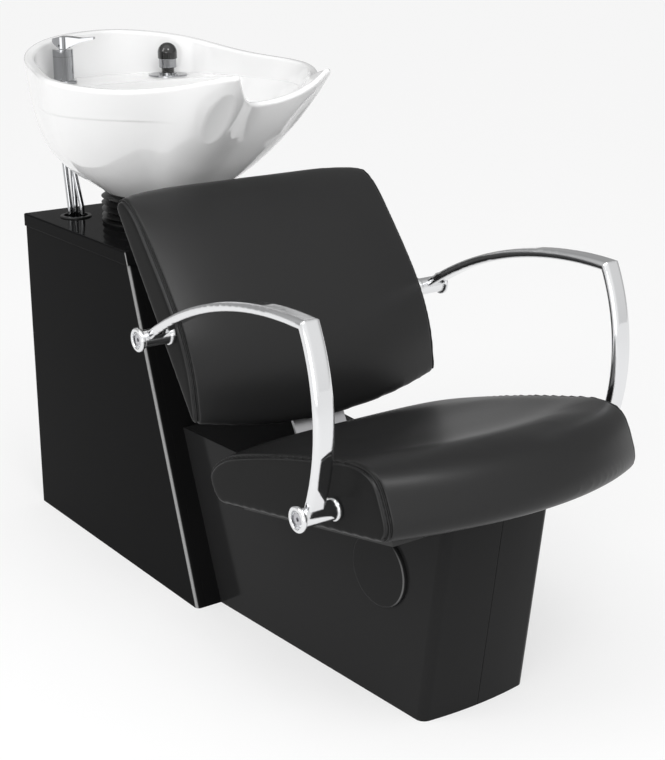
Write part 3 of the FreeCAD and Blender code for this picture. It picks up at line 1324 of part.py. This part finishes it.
def main():
    os.makedirs("parts", exist_ok=True)
    for side, sign in SIDES.items():
        save(cabinet_side(sign), "cabinet_side_" + side)
        save(plinth_half(sign), "plinth_half_" + side)
        save(side_cap(sign), "side_cap_" + side)
        save(armrest(sign), "armrest_" + side)
        save(arm_sleeves(sign), "arm_sleeves_" + side)
        save(hose_grommet(sign), "hose_grommet_" + side)
    save(cabinet_front_panel(), "cabinet_front_panel")
    save(access_panel(), "access_panel")
    save(panel_screws(), "panel_screws")
    save(cabinet_lid(), "cabinet_lid")
    save(plinth_deck(), "plinth_deck")
    save(seat_cushion(), "seat_cushion")
    save(seat_board(), "seat_board")
    save(seat_rails(), "seat_rails")
    save(backrest_cushion(), "backrest_cushion")
    save(back_board(), "back_board")
    save(back_strap(), "back_strap")
    save(arm_bolts(), "arm_bolts")
    save(steel_frame(), "steel_frame")
    save(basin_stand(), "basin_stand")
    save(tilt_pins(), "tilt_pins")
    save(bellows(), "bellows")
    save(waste_hose(), "waste_hose")
    save(waste_pipe(), "waste_pipe")
    save(waste_clip(), "waste_clip")
    save(inlet_bracket(), "inlet_bracket")
    save(inlet_unions(), "inlet_unions")
    save(supply_hose(0), "supply_hose_hot")
    save(supply_hose(1), "supply_hose_cold")
    save(spray_hose(), "spray_hose")
    save(basin(), "basin")
    save(tilt_bracket(), "tilt_bracket")
    save(drain_cup(), "drain_cup")
    save(drain_nut(), "drain_nut")
    save(drain_tail(), "drain_tail")
    save(hair_strainer(), "hair_strainer")
    save(tap_ring(), "tap_ring")
    save(tap_body(), "tap_body")
    save(ring_nut(TAP_X), "tap_nut")
    save(tap_cap(), "tap_cap")
    save(lever_pin(), "lever_pin")
    save(tap_lever(), "tap_lever")
    save(spray_plate(), "spray_plate")
    save(plate_screw(), "plate_screw")
    save(ring_nut(SPRAY_X), "spray_nut")
    save(spray_handle(), "spray_handle")
    save(spray_collar(), "spray_collar")
    save(spray_dome(), "spray_dome")


main()
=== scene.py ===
import json
import math

import bmesh
import bpy
import numpy as np
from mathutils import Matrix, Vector
from mathutils.bvhtree import BVHTree
from mathutils.kdtree import KDTree


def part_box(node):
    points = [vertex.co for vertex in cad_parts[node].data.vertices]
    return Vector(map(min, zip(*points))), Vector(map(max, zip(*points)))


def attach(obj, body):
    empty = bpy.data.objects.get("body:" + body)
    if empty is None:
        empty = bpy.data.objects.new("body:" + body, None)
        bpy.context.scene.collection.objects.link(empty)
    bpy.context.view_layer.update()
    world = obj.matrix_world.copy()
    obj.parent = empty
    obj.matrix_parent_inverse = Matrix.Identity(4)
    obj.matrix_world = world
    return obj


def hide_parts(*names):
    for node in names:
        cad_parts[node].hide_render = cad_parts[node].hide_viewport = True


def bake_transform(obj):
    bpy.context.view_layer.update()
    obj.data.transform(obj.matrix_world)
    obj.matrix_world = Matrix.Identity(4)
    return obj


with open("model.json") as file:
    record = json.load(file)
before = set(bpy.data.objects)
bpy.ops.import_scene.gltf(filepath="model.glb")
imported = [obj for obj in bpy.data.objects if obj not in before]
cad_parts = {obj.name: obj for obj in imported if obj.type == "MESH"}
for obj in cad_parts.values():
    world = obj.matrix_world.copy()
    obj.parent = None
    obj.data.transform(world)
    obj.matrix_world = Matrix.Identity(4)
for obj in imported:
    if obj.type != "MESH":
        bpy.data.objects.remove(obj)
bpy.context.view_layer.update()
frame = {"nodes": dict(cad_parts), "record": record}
NODES = frame["nodes"]
SLOT_OF = {part["node"]: part["material_slot"] for part in frame["record"]["subparts"]}
scene = bpy.context.scene


# Materials

COAT_ROUGHNESS = 0.03
BEVEL_SAMPLES = 6
GRAIN_HEIGHT = 0.0006
GRAIN_DETAIL = 2.0

# Where the painted highlight and the painted shade, which both depend on the surface's direction, start and
# are full
PAINTED_HIGHLIGHT_TURN = (-0.18, -0.36)      # X part squared, times the Y part, which is negative to the front
PAINTED_SHADE_TURN = (0.75, 0.97)       # X part squared

# The level step round the outside of the basin
CREASE_LEVEL = 0.831
CREASE_HALF_WIDTH = 0.0025
CREASE_HEIGHT = 0.0012
CREASE_FRONT = 0.06
CREASE_FRONT_FADE = 0.1
CREASE_REAR = 0.39
CREASE_REAR_FADE = 0.06
CREASE_OUTWARD = 0.03           # X times the direction's X part, where the step is full


def inputs_of(mat):
    return mat.node_tree.nodes["Principled BSDF"].inputs


def shader(name, color, roughness, metallic=0.0, specular=0.5, coat=0.0):
    mat = bpy.data.materials.new(name)
    mat.use_nodes = True
    inputs = inputs_of(mat)
    inputs["Base Color"].default_value = (*color, 1.0)
    inputs["Roughness"].default_value = roughness
    inputs["Metallic"].default_value = metallic
    inputs["Specular IOR Level"].default_value = specular
    inputs["Coat Weight"].default_value = coat
    inputs["Coat Roughness"].default_value = COAT_ROUGHNESS
    return mat


def round_edges(mat, radius):
    """Rounded edges, through the shading normal."""
    tree = mat.node_tree
    bevel = tree.nodes.new("ShaderNodeBevel")
    bevel.samples = BEVEL_SAMPLES
    bevel.inputs["Radius"].default_value = radius
    tree.links.new(bevel.outputs["Normal"], inputs_of(mat)["Normal"])
    return mat


def add_grain(mat, strength, scale):
    """A fine grain, through the shading normal."""
    tree = mat.node_tree
    coord = tree.nodes.new("ShaderNodeTexCoord")
    noise = tree.nodes.new("ShaderNodeTexNoise")
    noise.inputs["Scale"].default_value = scale
    noise.inputs["Detail"].default_value = GRAIN_DETAIL
    bump = tree.nodes.new("ShaderNodeBump")
    bump.inputs["Strength"].default_value = strength
    bump.inputs["Distance"].default_value = GRAIN_HEIGHT
    tree.links.new(coord.outputs["Object"], noise.inputs["Vector"])
    tree.links.new(noise.outputs["Fac"], bump.inputs["Height"])
    tree.links.new(bump.outputs["Normal"], inputs_of(mat)["Normal"])
    return mat


def math_node(tree, operation, first, second):
    node = tree.nodes.new("ShaderNodeMath")
    node.operation = operation
    tree.links.new(first, node.inputs[0])
    tree.links.new(second, node.inputs[1])
    return node.outputs["Value"]


def ramp_node(tree, value, start, end, low=0.0, high=1.0):
    """The low level at the start and the high level at the end, with a soft turn at both."""
    node = tree.nodes.new("ShaderNodeMapRange")
    node.interpolation_type = "SMOOTHSTEP"
    tree.links.new(value, node.inputs["Value"])
    node.inputs["From Min"].default_value = start
    node.inputs["From Max"].default_value = end
    node.inputs["To Min"].default_value = low
    node.inputs["To Max"].default_value = high
    return node.outputs["Result"]


def facing(tree):
    """The parts of the surface's direction along X, Y and Z."""
    node = tree.nodes.new("ShaderNodeSeparateXYZ")
    tree.links.new(tree.nodes.new("ShaderNodeNewGeometry").outputs["Normal"], node.inputs["Vector"])
    return node.outputs


def place_on(tree):
    """The place on the object along X, Y and Z."""
    node = tree.nodes.new("ShaderNodeSeparateXYZ")
    tree.links.new(tree.nodes.new("ShaderNodeTexCoord").outputs["Object"], node.inputs["Vector"])
    return node.outputs


def tint(mat, mask, grey):
    """Another shade where the mask is 1."""
    tree = mat.node_tree
    mix = tree.nodes.new("ShaderNodeMix")
    mix.data_type = "RGBA"
    color = inputs_of(mat)["Base Color"]
    mix.inputs["A"].default_value = color.default_value
    mix.inputs["B"].default_value = (grey, grey, grey, 1.0)
    tree.links.new(mask, mix.inputs["Factor"])
    tree.links.new(mix.outputs["Result"], color)
    return mat


def add_painted_edge_highlight(mat, grey):
    """A painted highlight: a lighter grey in the colour along the edges that are turned to the front and to a
    side, in place of a lamp's highlight.
    """
    tree = mat.node_tree
    out = facing(tree)
    side = math_node(tree, "MULTIPLY", out["X"], out["X"])
    return tint(mat, ramp_node(tree, math_node(tree, "MULTIPLY", side, out["Y"]), *PAINTED_HIGHLIGHT_TURN), grey)


def paint_side_shade(mat, grey, shine):
    """Painted shade: another shade and a lower shine on the panels that face a side, so that they look darker
    than the top.
    """
    tree = mat.node_tree
    out = facing(tree)
    side = math_node(tree, "MULTIPLY", out["X"], out["X"])
    level = inputs_of(mat)["Specular IOR Level"]
    tree.links.new(ramp_node(tree, side, *PAINTED_SHADE_TURN, level.default_value, shine), level)
    return tint(mat, ramp_node(tree, side, *PAINTED_SHADE_TURN), grey)


def add_crease(mat):
    """A faint level step round the outside of the bowl, which fades to the rear and to the front."""
    tree = mat.node_tree
    target = inputs_of(mat)["Normal"]
    place = place_on(tree)
    outward = math_node(tree, "MULTIPLY", place["X"], facing(tree)["X"])
    outside = ramp_node(tree, outward, 0.0, CREASE_OUTWARD)
    front = ramp_node(tree, place["Y"], CREASE_FRONT, CREASE_FRONT + CREASE_FRONT_FADE)
    rear = ramp_node(tree, place["Y"], CREASE_REAR, CREASE_REAR - CREASE_REAR_FADE)
    step = ramp_node(tree, place["Z"], CREASE_LEVEL - CREASE_HALF_WIDTH, CREASE_LEVEL + CREASE_HALF_WIDTH)
    extent = math_node(tree, "MULTIPLY", outside, math_node(tree, "MULTIPLY", front, rear))
    bump = tree.nodes.new("ShaderNodeBump")
    bump.inputs["Distance"].default_value = CREASE_HEIGHT
    tree.links.new(math_node(tree, "MULTIPLY", step, extent), bump.inputs["Height"])
    tree.links.new(target.links[0].from_socket, bump.inputs["Normal"])
    tree.links.new(bump.outputs["Normal"], target)
    return mat


LACQUER = round_edges(shader("lacquer", (0.007, 0.007, 0.0072), 0.06, specular=0.009), 0.0015)
VINYL = add_grain(shader("vinyl", (0.011, 0.011, 0.0112), 0.36, specular=0.3), 0.25, 620.0)
CERAMIC = round_edges(shader("glazed ceramic", (0.82, 0.82, 0.82), 0.07, coat=0.3), 0.006)
MATERIALS = {
    # Painted highlight: a lighter grey along the cabinet's front edges
    "cabinet_lacquer": add_painted_edge_highlight(LACQUER, 0.3),
    "plinth_black": round_edges(shader("gloss shell", (0.016, 0.016, 0.0162), 0.12, specular=0.05), 0.001),
    # Painted shade: the vinyl's side panels get a lower shine and another shade
    "vinyl_black": paint_side_shade(VINYL, 0.012, 0.03),
    "chrome": round_edges(shader("chrome", (0.8, 0.805, 0.815), 0.05, metallic=1.0), 0.005),
    # Painted shade: the hoses' metal is darker than the arms' chrome, like the fittings', in place of the
    # reflection of a darker room
    "hose_steel": shader("hose cover", (0.46, 0.465, 0.475), 0.1, metallic=1.0),
    "bolt_steel": shader("bolt steel", (0.5, 0.5, 0.52), 0.3, metallic=1.0),
    "strap_steel": round_edges(shader("strap steel", (0.5, 0.5, 0.51), 0.32, metallic=1.0), 0.001),
    "frame_paint": shader("frame paint", (0.02, 0.02, 0.02), 0.45),
    "ply": shader("painted board", (0.015, 0.015, 0.015), 0.6),
    "rubber_black": shader("rubber", (0.012, 0.012, 0.012), 0.35, specular=0.4),
    "waste_grey": shader("waste pipe", (0.35, 0.35, 0.36), 0.45),
    "brass": shader("brass", (0.72, 0.52, 0.25), 0.3, metallic=1.0),
    "ceramic_white": add_crease(CERAMIC),
    "spray_black": shader("spray plastic", (0.006, 0.006, 0.006), 0.06, coat=0.5),
}
THREAD = shader("thread", (0.006, 0.006, 0.006), 0.5, specular=0.1)

# Nodes whose finish differs from that of their slot: the side caps get a painted highlight on their front
# rim, and the fittings a darker chrome as painted shade, standing in for the reflection of a darker room
CAP = round_edges(shader("cap", (0.014, 0.014, 0.0142), 0.12, specular=0.05), 0.001)
CAP_NODES = ("side_cap_right", "side_cap_left")
# Painted shade: the fittings' chrome is darker than the arms', in place of the reflection of a darker room
FITTING_SHADED_CHROME = shader("fitting chrome with painted shade", (0.34, 0.345, 0.355), 0.05, metallic=1.0)
FITTING_NODES = ("tap_ring", "tap_body", "tap_cap", "tap_lever", "spray_plate", "spray_collar", "plate_screw")
# Painted highlight: a lighter grey along the front rim of the side caps
OWN_FINISH_AND_PAINTED_LIGHT = dict.fromkeys(CAP_NODES, add_painted_edge_highlight(CAP, 0.12))
OWN_FINISH_AND_PAINTED_LIGHT.update(dict.fromkeys(FITTING_NODES, FITTING_SHADED_CHROME))

for node, obj in NODES.items():
    obj.data.materials.clear()
    obj.data.materials.append(OWN_FINISH_AND_PAINTED_LIGHT.get(node, MATERIALS[SLOT_OF[node]]))


# Mesh tools

WELD = 1e-5                     # corners this near to each other are one


def link(name, data):
    obj = bpy.data.objects.new(name, data)
    scene.collection.objects.link(obj)
    return obj


def vertex_values(mesh, name):
    flat = np.empty(len(mesh.vertices) * 3)
    mesh.vertices.foreach_get(name, flat)
    return flat.reshape(-1, 3)


def coords(mesh):
    return vertex_values(mesh, "co")


def set_coords(mesh, co):
    mesh.vertices.foreach_set("co", np.ascontiguousarray(co).ravel())
    mesh.update()


def apply_modifiers(obj):
    graph = bpy.context.evaluated_depsgraph_get()
    mesh = bpy.data.meshes.new_from_object(obj.evaluated_get(graph))
    obj.modifiers.clear()
    obj.data = mesh


def smooth(mesh):
    mesh.polygons.foreach_set("use_smooth", [True] * len(mesh.polygons))
    mesh.update()


def finish_piece(obj, node, body=None):
    """Gives a piece its node's finish, puts it in the node's place and, where one is named, on a body."""
    obj.data.materials.clear()
    obj.data.materials.append(MATERIALS[SLOT_OF[node]])
    if body:
        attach(obj, body)
    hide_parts(node)
    return obj


def copy_of(node, name):
    return link(name, NODES[node].data.copy())


def welded(node, name):
    """A copy of a CAD node's mesh with its split corners joined."""
    mesh = bpy.data.meshes.new(name)
    bm = bmesh.new()
    bm.from_mesh(NODES[node].data)
    bmesh.ops.remove_doubles(bm, verts=bm.verts, dist=WELD)
    bm.to_mesh(mesh)
    bm.free()
    return link(name, mesh)


def grid_of_points(points):
    tree = KDTree(len(points))
    for i, point in enumerate(points):
        tree.insert(point, i)
    tree.balance()
    return tree


def distances(tree, points):
    return np.array([tree.find(point)[2] for point in points])


def surface_of(mesh):
    return BVHTree.FromPolygons([v.co[:] for v in mesh.vertices], [p.vertices[:] for p in mesh.polygons])


def running_length(points):
    """The length of a line of points up to each of them."""
    return np.concatenate([[0], np.cumsum(np.linalg.norm(np.diff(points, axis=0), axis=1))])


def points_at(points, lengths, places):
    """The points of a line at given lengths along it."""
    return np.stack([np.interp(places, lengths, points[:, i]) for i in range(3)], -1)


def bell(distance, middle, width):
    return np.exp(-((distance - middle) / width) ** 2)


# Cushions: a cushion lies in a frame of its own, p along it and q square to its board.

class Pad:
    def __init__(self, node, origin, along, square, bolt):
        self.node = node
        self.origin = np.array(origin)
        self.along = np.array(along)
        self.square = np.array(square)
        self.bolt = np.array(bolt)
        self.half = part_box(node)[1].x

    def pq(self, co):
        rel = co[:, 1:] - self.origin
        return rel @ self.along, rel @ self.square


# Places in the plane of Y and Z
SEAT_TILT = math.radians(11.0)
SEAT_REAR = (-0.202, 0.272)
SEAT_BOLT = (-0.540, 0.376)
BACK_RECLINE = math.radians(36.2)
BACK_TOP = (0.082, 0.714)
BACK_BOLT = (-0.101, 0.529)
SEAT = Pad("seat_cushion", SEAT_REAR, (-math.cos(SEAT_TILT), math.sin(SEAT_TILT)),
           (math.sin(SEAT_TILT), math.cos(SEAT_TILT)), SEAT_BOLT)
BACK = Pad("backrest_cushion", BACK_TOP, (-math.sin(BACK_RECLINE), -math.cos(BACK_RECLINE)),
           (-math.cos(BACK_RECLINE), math.sin(BACK_RECLINE)), BACK_BOLT)

# Cover
VOXEL = 0.005
END_FACE = 2e-5                 # a corner this near the end plane lies in it
BOLT_CLEAR = 0.009              # corners this near the bolt belong to its hole
BOARD_CLEAR = 0.004             # the seam line stays this far above the board
SEAM_STEP = 0.0015
PANEL_DEPTH = 0.0012            # how near the end face a point counts as the side panel
HELD_EDGE = 0.006               # the cover is held this near the seam
HELD_UNDER = 0.010              # and this near the board
SEAT_SWELL = 0.005
BACK_SWELL = 0.006
CLOTH_FRAMES = 20
NO_MOVE = 1e-9
EVEN_ROUNDS = 40
RELAX_SHARE = 0.5
RELAX_ROUNDS = 10

# Seams: places are distances from the side edge
SEAM_REACH = 0.014              # the mesh is refined this near the seam
PANEL_START = 0.5               # direction along X from which a point turns to the side panel
PANEL_BLEND = 0.3
RIDGE = (0.003, 0.0022)         # place and width of the welt
RIDGE_HEIGHT = 0.0012
WELT = 0.0075                   # place of the row of stitches
GROOVE_WIDTH = 0.0018
GROOVE_DEPTH = 0.0032
SIDE_GROOVE = (0.0028, 0.0016)  # place and width of the groove in the side panel
SIDE_GROOVE_DEPTH = 0.0034

# Stitches
STITCH_PITCH = 0.0048
STITCH_LENGTH = 0.0034
STITCH_SIDES = 6
STITCH_RINGS = ((-1.0, 0.3), (-0.6, 1.0), (0.6, 1.0), (1.0, 0.3))   # place along it and thickness
THREAD_WIDE = 0.00055
THREAD_HIGH = 0.00045
THREAD_SINK = 0.0002


def seam_line(pad, side):
    """The edge between a side panel and the cover's main panel, as evenly spaced points."""
    co = coords(NODES[pad.node].data)
    co = co[np.abs(co[:, 0] - side * pad.half) < END_FACE]
    co = co[np.linalg.norm(co[:, 1:] - pad.bolt, axis=1) > BOLT_CLEAR]
    p, q = pad.pq(co)
    turn = np.arctan2(p - (p.min() + p.max()) / 2, q - (q.min() + q.max()) / 2)
    order = np.argsort(turn)
    line = co[order][q[order] > BOARD_CLEAR]
    lengths = running_length(line)
    return points_at(line, lengths, np.arange(0, lengths[-1], SEAM_STEP))


def remesh(obj):
    """Gives a piece an even mesh, with its points on the old surface."""
    solid = surface_of(obj.data)
    mod = obj.modifiers.new("remesh", "REMESH")
    mod.mode = "VOXEL"
    mod.voxel_size = VOXEL
    apply_modifiers(obj)
    set_coords(obj.data, np.array([solid.find_nearest(v.co)[0] for v in obj.data.vertices]))


def held_points(pad, co, seam):
    """The points along the seams, on the side panels and at the board."""
    edge = distances(seam, co) < HELD_EDGE
    panel = np.abs(co[:, 0]) > pad.half - PANEL_DEPTH
    under = pad.pq(co)[1] < HELD_UNDER
    return edge | panel | under


def evened(mesh, field, held):
    """Evens out a field of moves over a mesh, with the held points left where they are."""
    pairs = np.empty(len(mesh.edges) * 2, int)
    mesh.edges.foreach_get("vertices", pairs)
    a, b = pairs.reshape(-1, 2).T
    count = np.bincount(pairs, minlength=len(field))[:, None]
    for _ in range(EVEN_ROUNDS):
        total = np.zeros_like(field)
        np.add.at(total, a, field[b])
        np.add.at(total, b, field[a])
        field = (field + total / count) / 2
        field[held] = 0
    return field


def add_cloth(obj, held):
    """Makes a piece an inflated cloth that is pinned at the held points."""
    group = obj.vertex_groups.new(name="held")
    group.add([int(i) for i in np.nonzero(held)[0]], 1.0, "REPLACE")
    cloth = obj.modifiers.new("cloth", "CLOTH")
    settings = cloth.settings
    settings.quality = 5
    settings.mass = 0.3
    settings.tension_stiffness = 25
    settings.compression_stiffness = 25
    settings.shear_stiffness = 12
    settings.bending_stiffness = 2.0
    settings.use_pressure = True
    settings.uniform_pressure_force = 4.0
    settings.vertex_group_mass = "held"
    settings.effector_weights.gravity = 0.0
    cloth.collision_settings.use_collision = False
    cloth.point_cache.frame_start = 1
    cloth.point_cache.frame_end = CLOTH_FRAMES


def swell(obj, held, limit):
    """Blows the cover up a little against what holds it, and keeps each point within a limit."""
    start = coords(obj.data)
    add_cloth(obj, held)
    for step in range(1, CLOTH_FRAMES + 1):
        scene.frame_set(step)
    graph = bpy.context.evaluated_depsgraph_get()
    moved = coords(obj.evaluated_get(graph).data) - start
    obj.modifiers.clear()
    scene.frame_set(1)
    reach = np.linalg.norm(moved, axis=1, keepdims=True)
    moved *= np.minimum(1.0, limit / np.maximum(reach, NO_MOVE))
    set_coords(obj.data, start + evened(obj.data, moved, held))


def relax(obj):
    """Evens out a piece's surface and divides its faces once."""
    mod = obj.modifiers.new("relax", "SMOOTH")
    mod.factor = RELAX_SHARE
    mod.iterations = RELAX_ROUNDS
    mod = obj.modifiers.new("fine", "SUBSURF")
    mod.levels = 1
    mod.render_levels = 1
    apply_modifiers(obj)


def refine_near(mesh, seam):
    """Splits the faces close to a seam, so that it can be drawn in them."""
    bm = bmesh.new()
    bm.from_mesh(mesh)
    near = {v for v in bm.verts if seam.find(v.co)[2] < SEAM_REACH}
    edges = [e for e in bm.edges if e.verts[0] in near and e.verts[1] in near]
    bmesh.ops.subdivide_edges(bm, edges=edges, cuts=1, use_grid_fill=True)
    bm.to_mesh(mesh)
    bm.free()


def draw_seams(mesh, seam):
    """A welt along each side edge, a groove beside it for the stitches and one in the side panel."""
    co = coords(mesh)
    out = vertex_values(mesh, "normal")
    d = distances(seam, co)
    panel = np.clip((np.abs(out[:, 0]) - PANEL_START) / PANEL_BLEND, 0.0, 1.0)
    skin = RIDGE_HEIGHT * bell(d, *RIDGE) - GROOVE_DEPTH * bell(d, WELT, GROOVE_WIDTH)
    side = -SIDE_GROOVE_DEPTH * bell(d, *SIDE_GROOVE)
    depth = panel * side + (1 - panel) * skin
    set_coords(mesh, co + out * depth[:, None])


def stitch_points(middle, along, up):
    """Rings of points round one thread, which is thinner at its ends."""
    across = along.cross(up).normalized()
    points = []
    for reach, size in STITCH_RINGS:
        for k in range(STITCH_SIDES):
            turn = 2 * math.pi * k / STITCH_SIDES
            sideways = across * (THREAD_WIDE * math.cos(turn))
            upwards = up * (THREAD_HIGH * math.sin(turn) - THREAD_SINK)
            points.append(middle + along * (reach * STITCH_LENGTH / 2) + (sideways + upwards) * size)
    return points


def stitch_faces(first):
    """The faces round one thread and at its two ends, counted from its first point."""
    faces = []
    for ring in range(len(STITCH_RINGS) - 1):
        for k in range(STITCH_SIDES):
            a = first + ring * STITCH_SIDES + k
            b = first + ring * STITCH_SIDES + (k + 1) % STITCH_SIDES
            faces.append((a, b, b + STITCH_SIDES, a + STITCH_SIDES))
    last = first + (len(STITCH_RINGS) - 1) * STITCH_SIDES
    faces.append(tuple(first + k for k in reversed(range(STITCH_SIDES))))
    faces.append(tuple(last + k for k in range(STITCH_SIDES)))
    return faces


def stitches(name, mesh, lines):
    """Short threads laid in the groove beside each seam."""
    surface = surface_of(mesh)
    verts = []
    faces = []
    for line in lines:
        side = 1 if line[0, 0] > 0 else -1
        run = line - np.array([side * WELT, 0, 0])
        lengths = running_length(run)
        for place in np.arange(STITCH_PITCH, lengths[-1] - STITCH_PITCH, STITCH_PITCH):
            start = Vector(points_at(run, lengths, place - STITCH_LENGTH / 2))
            end = Vector(points_at(run, lengths, place + STITCH_LENGTH / 2))
            middle, up, _, _ = surface.find_nearest((start + end) / 2)
            faces += stitch_faces(len(verts))
            verts += stitch_points(middle, (end - start).normalized(), up)
    data = bpy.data.meshes.new(name)
    data.from_pydata([v[:] for v in verts], [], faces)
    smooth(data)
    obj = link(name, data)
    data.materials.append(THREAD)
    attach(obj, "base")


def cushion(pad, name, limit):
    """A cover over a cushion's solid, with its seams and stitches."""
    obj = welded(pad.node, name)
    remesh(obj)
    lines = [seam_line(pad, side) for side in (-1, 1)]
    seam = grid_of_points(np.concatenate(lines))
    swell(obj, held_points(pad, coords(obj.data), seam), limit)
    relax(obj)
    refine_near(obj.data, seam)
    draw_seams(obj.data, seam)
    smooth(obj.data)
    finish_piece(obj, pad.node, "base")
    stitches(name + "_stitches", obj.data, lines)


cushion(SEAT, "seat_cover", SEAT_SWELL)
cushion(BACK, "back_cover", BACK_SWELL)


# Copies of the bellows and hoses, the pieces that bend as the basin tilts


def bending(node):
    """A copy of a node in the node's place and with its finish, shown instead of the node."""
    obj = finish_piece(copy_of(node, node + "_skin"), node)
    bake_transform(obj)


bending("bellows")
bending("waste_hose")
for hose in ("supply_hose_hot", "supply_hose_cold", "spray_hose"):
    bending(hose)


# The spray's hose

TAIL_LENGTH = 0.082             # a little more than the spray's lift
TAIL_RADIUS = 0.0042            # inside the hose's cover
TAIL_SIDES = 24


def hose_tail(name):
    """The run of the spray's hose that comes up out of its cover when the spray is lifted."""
    low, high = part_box("spray_handle")
    middle = ((low.x + high.x) / 2, (low.y + high.y) / 2, low.z - TAIL_LENGTH / 2)
    mesh = bpy.data.meshes.new(name)
    bm = bmesh.new()
    bmesh.ops.create_cone(bm, segments=TAIL_SIDES, radius1=TAIL_RADIUS, radius2=TAIL_RADIUS,
                          depth=TAIL_LENGTH, cap_ends=True)
    bmesh.ops.translate(bm, verts=bm.verts, vec=middle)
    bm.to_mesh(mesh)
    bm.free()
    obj = link(name, mesh)
    mesh.materials.append(MATERIALS["hose_steel"])
    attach(obj, "spray")


hose_tail("spray_hose_tail")


# Stage, light and camera

PICTURE_HEIGHT = 760.0          # pixels, the longer side of the picture
FOCAL_PX = 1504.3               # focal length in those pixels
SENSOR = 36.0
CAMERA_AT = Vector((-1.3927, -2.1173, 1.2006))
CAMERA_AZIMUTH = math.radians(-35.936)
CAMERA_PITCH = math.radians(18.015)

FLOOR_HALF = 20.0
FLOOR_WHITE = 0.6               # share of plain white in the floor's look
SUN_SPREAD = math.radians(70.0)

# The surroundings, by how far a direction points the bright way
BRIGHT_WAY = (-0.5, -0.75, 0.35)
DIM_FROM, DIM_LEVEL = -0.5, 0.36
BRIGHT_FROM, BRIGHT_LEVEL = 0.8, 1.04


def camera():
    data = bpy.data.cameras.new("camera")
    data.sensor_width = SENSOR
    data.lens = FOCAL_PX / PICTURE_HEIGHT * SENSOR
    cam = link("camera", data)
    cam.location = CAMERA_AT
    cam.rotation_euler = (math.pi / 2 - CAMERA_PITCH, 0.0, CAMERA_AZIMUTH)
    bpy.context.scene.camera = cam


def whiten(mat, share):
    """Shows a surface nearer to white, in sight and in reflections, while it still takes shadows."""
    tree = mat.node_tree
    path = tree.nodes.new("ShaderNodeLightPath").outputs
    seen = math_node(tree, "MAXIMUM", path["Is Camera Ray"], path["Is Glossy Ray"])
    seen = math_node(tree, "MAXIMUM", seen, path["Is Transmission Ray"])
    part = tree.nodes.new("ShaderNodeMath")
    part.operation = "MULTIPLY"
    part.inputs[1].default_value = share
    mix = tree.nodes.new("ShaderNodeMixShader")
    tree.links.new(seen, part.inputs[0])
    tree.links.new(part.outputs["Value"], mix.inputs[0])
    tree.links.new(tree.nodes["Principled BSDF"].outputs["BSDF"], mix.inputs[1])
    tree.links.new(tree.nodes.new("ShaderNodeEmission").outputs["Emission"], mix.inputs[2])
    tree.links.new(mix.outputs["Shader"], tree.nodes["Material Output"].inputs["Surface"])
    return mat


def floor():
    mesh = bpy.data.meshes.new("floor")
    corners = [(x * FLOOR_HALF, y * FLOOR_HALF, 0) for x, y in ((-1, -1), (1, -1), (1, 1), (-1, 1))]
    mesh.from_pydata(corners, [], [(0, 1, 2, 3)])
    obj = link("floor", mesh)
    mesh.materials.append(whiten(shader("floor", (0.92, 0.92, 0.92), 0.9, specular=0.1), FLOOR_WHITE))


def softbox(name, at, aim, width, height, power):
    data = bpy.data.lights.new(name, "AREA")
    data.shape = "RECTANGLE"
    data.size = width
    data.size_y = height
    data.energy = power
    light = link(name, data)
    light.location = at
    light.rotation_euler = (Vector(aim) - Vector(at)).to_track_quat("-Z", "Y").to_euler()


def soft_sun(name, towards, strength):
    data = bpy.data.lights.new(name, "SUN")
    data.energy = strength
    data.angle = SUN_SPREAD
    light = link(name, data)
    light.rotation_euler = Vector(towards).to_track_quat("Z", "Y").to_euler()


def surroundings():
    """White above and on the camera's side, and dimmer beyond the object."""
    world = bpy.data.worlds.new("studio")
    world.use_nodes = True
    scene.world = world
    tree = world.node_tree
    coord = tree.nodes.new("ShaderNodeTexCoord")
    dot = tree.nodes.new("ShaderNodeVectorMath")
    dot.operation = "DOT_PRODUCT"
    dot.inputs[1].default_value = BRIGHT_WAY
    tree.links.new(coord.outputs["Generated"], dot.inputs[0])
    level = ramp_node(tree, dot.outputs["Value"], DIM_FROM, BRIGHT_FROM, DIM_LEVEL, BRIGHT_LEVEL)
    tree.links.new(level, tree.nodes["Background"].inputs["Color"])


camera()
floor()
surroundings()
soft_sun("overhead", towards=(-0.3, -0.3, 1.0), strength=0.45)
softbox("left light", at=(-2.3, 0.3, 2.2), aim=(0.0, 0.0, 0.6), width=0.8, height=1.8, power=15.0)
softbox("top light", at=(-0.5, -1.9, 2.9), aim=(0.0, -0.2, 0.5), width=0.9, height=1.0, power=18.0)
softbox("front light", at=(-2.4, -2.0, 0.8), aim=(0.0, 0.3, 0.75), width=1.5, height=1.2, power=12.0)
scene.view_settings.view_transform = "Standard"
